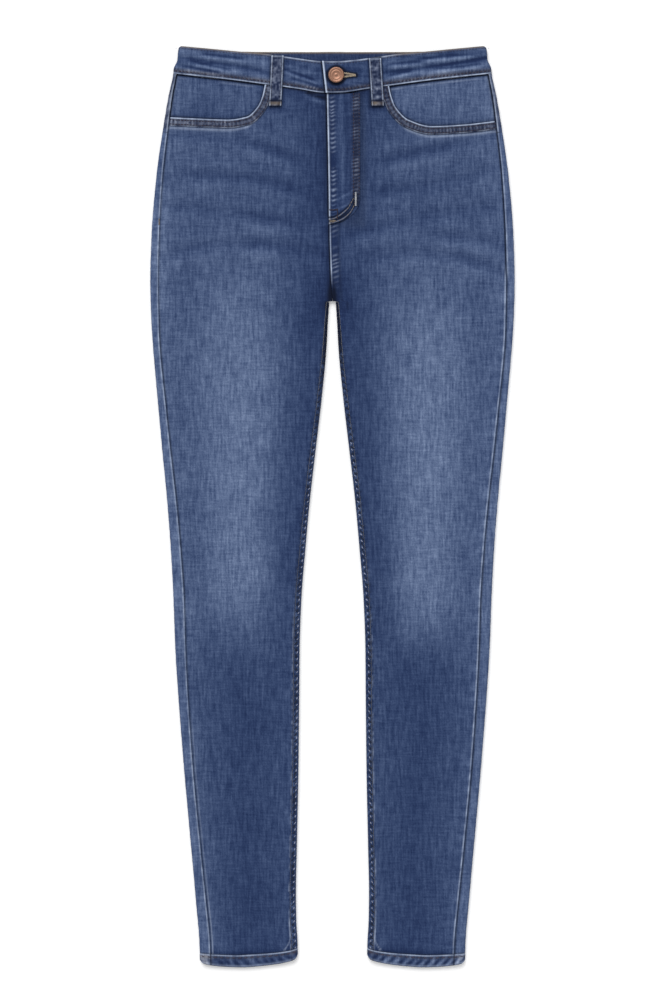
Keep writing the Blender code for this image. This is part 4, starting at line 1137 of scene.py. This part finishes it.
rows = []
for share in runs((0.0, 0.85, 14), (0.88, 1.0, 8)):
    end = jointUnder(share)[0] - gap
    x = np.linspace(-end, end, 140)
    low = backSeam(np.abs(x))
    y = low + share * (bandBackEdge(np.abs(x)) - low)
    rows.append(np.stack([x, y, loopUnder(x, y)], axis=-1))
grid = np.array(rows)
x, y = grid[..., 0], grid[..., 1]
offTop = bandBackEdge(np.abs(x)) - y
backBand = addCloth("waistbandBack", grid, bandWall, False, denimFinish,
                    {"tone": 0.5 + 0.1 * patches(x, y, 24.0, 9.0, 170), "worn": 0.7 * ridge(offTop, 1.5)})
# The inner face, which shows over the front, is paler at its rim
values = np.empty(len(backBand.data.vertices), np.float32)
spots = np.empty(len(values) * 3, np.float32)
backBand.data.vertices.foreach_get("co", spots)
half = len(values) // 2
spots = spots.reshape(-1, 3)[half:] / mm
rim = ridge(bandBackEdge(np.abs(spots[:, 0])) - spots[:, 1] - 0.3, 1.3)
for name, base, more in (("tone", 0.02, 0.0), ("worn", 0.1, 0.5), ("tan", 0.0, 0.75)):
    attribute = backBand.data.attributes[name]
    attribute.data.foreach_get("value", values)
    values[half:] = base + more * rim
    attribute.data.foreach_set("value", values)
print("waistband made")


# Belt loops

loop = {"tone": 0.28, "rows": 60, "backTone": 0.45}


def loopGrid(name):
    side = sides[name]
    topX, topY, footX, footY = frontLoops[name]
    ys = np.linspace(footY, topY, loop["rows"])
    half = np.array([1.4, 2.8, 4.0, 4.9, 5.6, 6.2, loopHalf])
    across = np.concatenate([-half[::-1], [0.0], half])
    rows = []
    for y in ys:
        t = (y - footY) / (topY - footY)
        middle = footX + (topX - footX) * t
        seam = float(waistSeam(abs(middle)))
        share = float(ease((y - seam + 1.5) / 8.0))
        low = max(float(faceHeight(middle + d, min(y, seam))) for d in (-6.0, 0.0, 6.0)) + 1.6
        high = float(bandHeight(middle, max(y, seam), side)) + gap
        z = low + (max(high, bandTop + gap) - low) * share + stripWall
        if share > 0.99:
            z = max(z, bandTop + gap + stripWall)
        rows.append([(middle + d, y, z) for d in across])
    grid = np.array(rows)
    return grid, np.broadcast_to(across, grid.shape[:2])


for name in frontLoops:
    grid, across = loopGrid(name)
    y = grid[..., 1]
    edge = loopHalf - np.abs(across)
    foot = y - loopBelow
    head = frontLoops[name][1] - y
    seed = 180 + 10 * sides[name]
    tone = (loop["tone"] + 0.95 * wander(y, 4.4, seed) * ridge(across, 4.0)
            + 0.95 * patches(across, y, 1.9, 2.2, seed + 1))
    rub = (0.62 * ridge(edge - 0.8, 0.48) * (0.75 + 0.45 * wander(y, 5.0, seed + 2))
           + 0.35 * ridge(head - 1.0, 0.7))
    worn = 0.40 + 0.3 * ridge(foot - 2.4, 2.4)
    tan = (0.42 + 0.25 * wander(across, 2.5, seed + 4)) * bank(np.abs(foot - 2.6) - 1.2, 0.7)
    # Painted shade above the loop's foot and along its rolled edges
    dark = (0.92 * ridge(foot - 5.4, 0.8)
            + 0.62 * ridge(edge - 2.1, 0.5) * (0.7 + 0.5 * wander(y, 4.0, seed + 5)))
    lift = 0.12 * wander(y, 5.0, 183) - 0.35 * ridge(edge, 0.5) - 0.35 * ridge(foot - 5.4, 0.9)
    addCloth("beltLoop" + name, grid, stripWall, True, denimFinish,
             {"tone": tone, "rub": rub, "worn": worn, "dark": dark, "tan": tan}, lift=lift)

for name, middle in (("Left", backLoopX), ("Centre", 0.0), ("Right", -backLoopX)):
    high = float(bandBackEdge(abs(middle)))
    ys = np.linspace(backLoopBelow, high, 36)
    across = np.linspace(-backLoopHalf, backLoopHalf, 13)
    x, y = np.meshgrid(across, ys)
    grid = np.stack([x + middle, y, np.zeros_like(x)], axis=-1)
    edge = backLoopHalf - np.abs(x)
    addCloth("beltLoopBack" + name, grid, stripWall, False, denimFinish,
             {"tone": loop["backTone"] + 0.15 * wander(y, 6.0, 184), "rub": 0.4 * ridge(edge - 0.7, 0.7),
              "worn": 0.4})
print("belt loops made")


# Hems

hem = {"bottom": -490.0, "depth": 10.0, "tone": {1: 0.32, -1: 0.40}, "roping": 1.75}


def hemGrid(side):
    heights = np.array([0.0, 0.05, 0.1, 0.2, 0.3, 0.4, 0.5, 0.6, 0.7, 0.78, 0.84, 0.88, 0.92, 0.96, 1.0])
    rows = []
    for height in heights:
        nominal = hem["bottom"] + height * hem["depth"]
        edge = float(innerEdge(nominal))
        far = float(outerEdge(nominal))
        start = float(frontStart(side, nominal))
        end = far - float(outerStrip(nominal)) - gap / 2
        section = [(x, None) for x in np.concatenate([
            np.linspace(edge + fold, start, 4)[1:-1], np.linspace(start, end, 64),
            np.linspace(end, far - fold, 8)[1:-1]])]
        section += [(far - fold + fold * math.cos(g), fold + fold * math.sin(g))
                    for g in np.linspace(math.pi / 2, -math.pi / 2, 9)]
        section += [(x, 0.0) for x in np.linspace(far - fold, edge + fold, 40)[1:-1]]
        section += [(edge + fold + fold * math.cos(g), fold + fold * math.sin(g))
                    for g in np.linspace(3 * math.pi / 2, math.pi / 2, 9)]
        row = []
        for x, z in section:
            turnIn = max(x - far + 5.0, 0.0) / 5.0, max(edge + 4.0 - x, 0.0) / 4.0
            low = float(hemEdge(x)) + 3.6 * turnIn[0] ** 2 + 2.6 * turnIn[1] ** 2
            y = low + height * (float(hemSeam(x)) - low)
            row.append((side * x, y, float(faceHeight(side * x, y)) if z is None else z))
        rows.append(row)
    return np.array(rows)


for label, side in sides.items():
    grid = hemGrid(side)
    x, y, z = grid[..., 0], grid[..., 1], grid[..., 2]
    across = x * side
    offSeam = hemSeam(across) - y
    offEdge = y - hemEdge(across)
    slant = pleats(across + 0.8 * offSeam, 9.4, 190 + side) - 0.42
    # Roping with paler crests and darker troughs, partly fade and partly painted highlight and shade
    tone = hem["tone"][side] + hem["roping"] * slant * ridge(offEdge - 4.4, 4.2) + 0.2 * wander(x, 4.0, 192)
    tone += (0.80 if side > 0 else 1.3) * ridge(outerEdge(y) - across - 6.0, 6.0)
    rub = 0.62 * ridge(offSeam - 0.9, 0.55) * (0.7 + 0.5 * wander(x, 8.0, 193 + side))
    rub += 0.2 * ridge(offEdge - 1.2, 1.0)
    tan = 0.16 * ridge(across - innerEdge(y) - 4.0, 3.0) * ridge(offSeam - 2.5, 3.0)
    seamOff = np.minimum(np.abs(across - frontEnd(y)), np.abs(across - frontStart(side, y)))
    # Painted shade under the hem's seam, in the troughs of its roping, along its seams and at its folded
    # bottom edge
    dark = 0.40 * ridge(offSeam - 3.0, 0.9) * np.clip(0.5 + wander(x, 5.0, 195 + side), 0, 1) * (z > 3.0)
    dark += 0.55 * np.clip(-slant - 0.1, 0, 1) * ridge(offEdge - 4.4, 3.4) * (z > 3.0)
    dark += (0.7 * ridge(np.abs(across - frontEnd(y)), 0.8) + 0.5 * ridge(offEdge, 0.8)
             + 0.3 * ridge(seamOff, 0.8))
    worn = 0.06 + 0.34 * ridge(offSeam - 3.0, 1.8)
    worn += ((0.26 if side > 0 else 0.46) * ridge(outerEdge(y) - across - 6.0, 7.0)
             * (0.7 + 0.5 * wander(x + y, 2.6, 197)))
    lift = np.where(z > 3.2, 0.3 * slant, 0.0) - 0.3 * ridge(offSeam, 0.6)
    addCloth("hemRing" + label, grid, bandWall, side > 0, denimFinish,
             {"tone": tone, "rub": rub, "dark": np.clip(dark, 0, 0.9), "worn": worn,
              "tan": tan}, ring=True, lift=lift)
print("hems made")


# Zip tape and button

rows = []
for y in np.linspace(zipBottom, zipTop, 60):
    centre = float(centreSeam(y)) + zipHalf + gap
    xs = np.linspace(centre - zipHalf, centre + zipHalf, 7)
    rows.append(onFace(xs, np.full_like(xs, y)))
addCloth("zipTape", np.array(rows), denimWall, True, tapeFinish, {})

buttonShape = {
    "steps": 64,
    "profile": [(0.01, 3.35), (0.8, 3.3), (1.3, 3.0), (2.1, 2.95), (3.9, 3.0), (4.3, 3.3), (4.9, 3.3),
                (5.3, 3.05),
                (6.0, 3.1), (6.5, 3.6), (7.1, 3.8), (7.7, 3.65), (8.2, 3.1), (buttonRadius, 2.4), (8.2, 1.8),
                (5.0, 1.3), (4.6, 0.0), (0.01, 0.0)],
}
steps = buttonShape["steps"]
turns = np.linspace(0, 2 * np.pi, steps, endpoint=False)
base = bandTop + lapRaise + gap
spots = np.array([(buttonAt[0] + r * math.cos(g), buttonAt[1] + r * math.sin(g), base + z)
                  for r, z in buttonShape["profile"] for g in turns])
number = np.arange(len(spots)).reshape(-1, steps)
right = np.roll(number, -1, axis=1)
faces = np.stack([number[:-1], number[1:], right[1:], right[:-1]], axis=-1).reshape(-1, 4).tolist()
button = addMesh("shankButton", spots, faces + [number[0, ::-1], number[-1]], copperFinish)
print("button made")


# Stitching

def stitchGroup():
    group = bpy.data.node_groups.new("stitchRows", "GeometryNodeTree")
    sizes = {"Pitch": 3.0, "Length": 2.2, "Width": 0.6, "Height": 0.4, "Tilt": 0.0, "Uneven": 0.1}
    sockets = {"Lines": "Geometry", **dict.fromkeys(sizes, "Float"), "Seed": "Int", "Thread": "Material"}
    for label, kind in sockets.items():
        socket = group.interface.new_socket(label, in_out="INPUT", socket_type="NodeSocket" + kind)
        if label in sizes:
            socket.default_value = sizes[label]
    group.interface.new_socket("Stitches", in_out="OUTPUT", socket_type="NodeSocketGeometry")
    nodes = {}
    for label, kind, settings, values in (
            ("source", "NodeGroupInput", {}, {}),
            ("lines", "GeometryNodeMeshToCurve", {}, {}),
            ("points", "GeometryNodeCurveToPoints", {"mode": "LENGTH"}, {}),
            ("ball", "GeometryNodeMeshUVSphere", {}, {"Segments": 6, "Rings": 4, "Radius": 0.5}),
            ("size", "ShaderNodeCombineXYZ", {}, {}),
            ("shape", "GeometryNodeTransform", {}, {}),
            ("turn", "ShaderNodeCombineXYZ", {}, {}),
            ("tilt", "GeometryNodeTransform", {}, {}),
            ("heading", "FunctionNodeAlignRotationToVector", {"axis": "X", "pivot_axis": "Z"}, {}),
            ("less", "ShaderNodeMath", {"operation": "MULTIPLY"}, {1: -1.0}),
            ("sway", "FunctionNodeRandomValue", {"data_type": "FLOAT"}, {}),
            ("swayTurn", "ShaderNodeCombineXYZ", {}, {}),
            ("swayRotation", "FunctionNodeEulerToRotation", {}, {}),
            ("both", "FunctionNodeRotateRotation", {}, {}),
            ("grow", "FunctionNodeRandomValue", {"data_type": "FLOAT"}, {2: 0.85, 3: 1.12}),
            ("place", "GeometryNodeInstanceOnPoints", {}, {}),
            ("realize", "GeometryNodeRealizeInstances", {}, {}),
            ("finish", "GeometryNodeSetMaterial", {}, {}),
            ("result", "NodeGroupOutput", {}, {})):
        nodes[label] = group.nodes.new(kind)
        for key, value in settings.items():
            setattr(nodes[label], key, value)
        for key, value in values.items():
            nodes[label].inputs[key].default_value = value
    for start, output, end, entry in (
            ("source", "Lines", "lines", "Mesh"), ("lines", "Curve", "points", "Curve"),
            ("source", "Pitch", "points", "Length"), ("source", "Length", "size", "X"),
            ("source", "Width", "size", "Y"), ("source", "Height", "size", "Z"),
            ("ball", "Mesh", "shape", "Geometry"), ("size", "Vector", "shape", "Scale"),
            ("source", "Tilt", "turn", "Z"), ("shape", "Geometry", "tilt", "Geometry"),
            ("turn", "Vector", "tilt", "Rotation"), ("points", "Tangent", "heading", "Vector"),
            ("source", "Uneven", "sway", 3), ("source", "Uneven", "less", 0), ("less", "Value", "sway", 2),
            ("source", "Seed", "sway", "Seed"), ("source", "Seed", "grow", "Seed"),
            ("sway", 1, "swayTurn", "Z"), ("swayTurn", "Vector", "swayRotation", "Euler"),
            ("heading", "Rotation", "both", "Rotation"), ("swayRotation", "Rotation", "both", "Rotate By"),
            ("points", "Points", "place", "Points"), ("tilt", "Geometry", "place", "Instance"),
            ("both", "Rotation", "place", "Rotation"), ("grow", 1, "place", "Scale"),
            ("place", "Instances", "realize", "Geometry"), ("realize", "Geometry", "finish", "Geometry"),
            ("source", "Thread", "finish", "Material"), ("finish", "Geometry", "result", "Stitches")):
        group.links.new(nodes[start].outputs[output], nodes[end].inputs[entry])
    return group


acrossLine = math.pi / 2
stitch = {
    "inseamRope": {"thread": ropeThread, "pitch": 7.0, "length": 3.1, "width": 1.05, "height": 0.6,
                   "uneven": 0.3},
    "inseamShade": {"thread": shadeThread, "pitch": 7.0, "length": 4.4, "width": 1.7, "height": 0.5,
                    "uneven": 0.25},
    "pocketStitches": {"thread": brownThread, "pitch": 3.1, "length": 2.4, "width": 1.15, "uneven": 0.14},
    "bandStitches": {"thread": brownThread, "pitch": 4.0, "length": 2.9, "width": 1.25, "uneven": 0.18},
    "bandTopStitches": {"thread": brownThread, "pitch": 3.4, "length": 2.3, "width": 0.5},
    "hemStitches": {"thread": hemThread, "pitch": 6.2, "length": 4.2, "width": 1.25, "uneven": 0.34},
    "flyStitches": {"thread": brownThread, "pitch": 3.4, "length": 2.6, "width": 1.2, "uneven": 0.2},
    "flyTurnStitches": {"thread": goldThread, "pitch": 3.4, "length": 3.5, "width": 0.6, "uneven": 0.16},
    "loopStitches": {"thread": brownThread, "pitch": 3.0, "length": 2.2, "width": 0.55},
    "buttonhole": {"thread": holeThread, "pitch": 0.7, "length": 2.3, "width": 0.9, "height": 0.7,
                   "uneven": 0.16,
                   "tilt": acrossLine},
    "tack": {"pitch": 0.75, "width": 0.8, "height": 0.7, "uneven": 0.05, "tilt": acrossLine},
}
stitching = stitchGroup()
sewn = {}


# One piece of stitches along lines, each an array of points, that belongs to a sheet
def sew(name, kind, lines, on, seed, **more):
    size = {"height": 0.45, "tilt": 0.0, "uneven": 0.08, "seed": seed, **stitch[kind], **more}
    points = []
    edges = []
    for line in lines:
        edges += [(len(points) + i, len(points) + i + 1) for i in range(len(line) - 1)]
        points += (np.asarray(line, float) * mm).tolist()
    mesh = bpy.data.meshes.new(name + "Lines")
    mesh.from_pydata(points, edges, [])
    maker = addObject(name + "Lines", mesh)
    modifier = maker.modifiers.new("stitches", "NODES")
    modifier.node_group = stitching
    for item in stitching.interface.items_tree:
        if item.in_out == "INPUT" and item.name != "Lines":
            value = size[item.name.lower()]
            modifier[item.identifier] = value * mm if item.name in ("Pitch", "Length", "Width",
                                                                    "Height") else value
    made = bpy.data.meshes.new_from_object(maker.evaluated_get(bpy.context.evaluated_depsgraph_get()))
    made.name = name
    bpy.data.objects.remove(maker)
    if not made.materials:
        made.materials.append(size["thread"])
    made.shade_smooth()
    sewn[name] = (addObject(name, made), on)


# Of each inseam row: its two ends, where it lies across the strip, its height, tilt and seed
inseamRows = {"inseamRope": (-474.0, 70.0, {1: 0.55, -1: 0.38}, 0.15, 0.5, 3),
              "inseamShade": (-470.5, 205.0, {1: 0.68, -1: 0.60}, 0.05, 0.62, 13)}

for label, side in sides.items():
    for kind, (low, high, share, up, tilt, seed) in inseamRows.items():
        ys = np.arange(low, high, 2.0)
        xs = side * (innerEdge(ys) + innerStrip(ys) * share[side])
        sew(kind + label, kind, [onFace(xs, ys, up)], "backPanel" + label, seed + side, tilt=tilt * side)
    # Two rows on the edge of the pocket
    x, y, inX, inY, _ = mouthTrace(side)
    rows = []
    for offset in (2.9, 7.3):
        px = x + inX * (offset + gap)
        py = y + inY * (offset + gap)
        keep = (px < outerEdge(py) - outerStrip(py) - 1.2) & (py < waistSeam(px) - 1.5)
        rows.append(onFace(side * px[keep], py[keep], gap + stripWall + 0.08))
    sew("pocketStitches" + label, "pocketStitches", rows, "pocketEdge" + label, 5 + side)
    # Rows over the waist seam and under the band's upper edge
    xs = np.linspace(12.0 if side < 0 else -5.0, 168.0, 120)
    row = onBand(side * xs, waistSeam(np.abs(xs)) + 3.2, side, 0.12)
    sew("bandStitches" + label, "bandStitches", [row], "waistband" + label, 7 + side, tilt=0.35 * side)
    row = onBand(side * xs, bandFrontEdge(np.abs(xs)) - 2.6, side, 0.1)
    sew("bandTopStitches" + label, "bandTopStitches", [row], "waistband" + label, 9 + side)
    xs = np.linspace(41.0, 139.0, 60)
    row = onFace(side * xs, hemSeam(xs) - 3.0, 0.22)
    sew("hemStitches" + label, "hemStitches", [row], "hemRing" + label, 11 + side)

# Fly: two columns and the turn of the J, then the bar tacks
flyFace = gap + denimWall
ys = np.linspace(443.0, 336.0, 60)
rows = [onFace(flyStitchedEdge(ys) - inset, ys, flyFace + 0.12) for inset in (1.2, 7.2)]
sew("flyStitches", "flyStitches", rows, "flyFlap", 21)
rows = []
for row, end in zip(turnRows, (24.0, 22.0)):
    xs = np.linspace(-2.5, end, 40)
    rows.append(onFace(xs, row(xs), flyFace + 0.12))
sew("flyTurnStitches", "flyTurnStitches", rows, "flyFlap", 22)

for name, start, end, thread, length, up, on in (
        ("flyTackUp", (25.0, 323.5), (25.0, 337.5), whiteThread, 2.3, flyFace + 0.2, "flyFlap"),
        ("flyTackAcross", (-3.0, 318.7), (5.8, 319.0), brownThread, 2.4, flyFace + 0.2, "flyFlap"),
        ("flyTackDown", (5.6, 317.6), (5.2, 309.0), brownThread, 1.6, flyFace + 0.2, "flyFlap"),
        ("flyTackFoot", (-2.6, 306.4), (3.0, 307.2), goldThread, 2.4, flyFace + 0.2, "flyFlap"),
        ("outseamTack", (-186.3, 309.0), (-186.3, 303.0), goldThread, 1.5, 0.25, "backPanelRight")):
    xs, ys = np.linspace(start, end, 12).T
    sew(name, "tack", [onFace(xs, ys, up)], on, 31, thread=thread, length=length)

# Belt loops: two rows down
for label in frontLoops:
    grid, across = loopGrid(label)
    rows = [grid[4:-2, column] + (0.0, 0.0, 0.1) for column in (3, 11)]
    sew("loopStitches" + label, "loopStitches", rows, "beltLoop" + label, 41)

# Buttonhole: two rows that meet at its end
hole = {"start": 10.5, "end": 24.6, "half": 2.3, "meet": 0.3}
xs = np.linspace(hole["start"], hole["end"], 24)
spread = hole["meet"] + (hole["half"] - hole["meet"]) * (hole["end"] - xs) / (hole["end"] - hole["start"])
sew("buttonhole", "buttonhole", [onBand(xs, holeAt + way * spread, 1, 0.3) for way in (-1, 1)],
    "waistbandLeft", 51)
print("stitches made")


# Ties to the frame

nodeOf = {"beltLoopBackCentre": "belt_loop_back_centre", "flyFlap": "fly", "zipTape": "zip",
          "waistbandBack": "waistband_back"}
for start, node in (("frontPanel", "front_"), ("backPanel", "back_"), ("backYoke", "back_yoke_"),
                    ("backPatch", "back_pocket_"), ("pocketFacing", "pocket_facing_"),
                    ("pocketEdge", "pocket_edge_"), ("waistband", "waistband_front_"),
                    ("beltLoop", "belt_loop_front_"), ("beltLoopBack", "belt_loop_back_"),
                    ("hemRing", "hem_")):
    for label in sides:
        nodeOf[start + label] = node + label.lower()
turnedEdges = {"pocketEdgeLeft": "frontPanelLeft", "pocketEdgeRight": "frontPanelRight", "zipTape": "flyFlap"}

for name, (piece, flat, area) in cuts.items():
    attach(piece, "root")
    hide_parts(nodeOf[name])
    if name in turnedEdges:
        continue
    narrow = [edge for edge, on in turnedEdges.items() if on == name]
    extras = [sewnPiece for sewnPiece, on in sewn.values() if on == name or on in narrow]
    extras += [cuts[edge][0] for edge in narrow]
for name, (piece, on) in sewn.items():
    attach(piece, "root")
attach(button, "root")
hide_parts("button")


# Floor, light and camera

floorFinish, place, shader = newMaterial("paleFloor", 0.9)
shader.inputs["Base Color"].default_value = (0.96, 0.96, 0.96, 1.0)
shader.inputs["Emission Color"].default_value = (1.0, 1.0, 1.0, 1.0)
shader.inputs["Emission Strength"].default_value = 0.16
mesh = bpy.data.meshes.new("floor")
mesh.from_pydata([(-6, -6, -0.0004), (6, -6, -0.0004), (6, 6, -0.0004), (-6, 6, -0.0004)], [], [(0, 1, 2, 3)])
mesh.materials.append(floorFinish)
floor = addObject("floor", mesh)

lighting = {"sky": 0.62, "sun": 1.75, "soft": 40.0, "turn": (-40.0, -14.0, 0.0)}
world = bpy.data.worlds.new("softSky")
bpy.context.scene.world = world
world.use_nodes = True
sky = world.node_tree.nodes["Background"].inputs
sky["Color"].default_value = (1.0, 1.0, 1.0, 1.0)
sky["Strength"].default_value = lighting["sky"]
sun = bpy.data.lights.new("softbox", "SUN")
sun.energy = lighting["sun"]
sun.angle = math.radians(lighting["soft"])
addObject("softbox", sun).rotation_euler = [math.radians(angle) for angle in lighting["turn"]]

shot = {"eye": (0.0038, 0.0027, 3.005), "sensor": 36.0, "distance": 3.0, "width": 1.0836}
camera = bpy.data.cameras.new("overhead")
camera.sensor_width = shot["sensor"]
camera.lens = shot["sensor"] * shot["distance"] / shot["width"]
camera.clip_end = 50.0
eye = addObject("overhead", camera)
eye.location = shot["eye"]
bpy.context.scene.camera = eye

view = bpy.context.scene.view_settings
view.view_transform = "Standard"
view.look = "None"
view.exposure = 0.0
view.gamma = 1.0

print("scene ready")
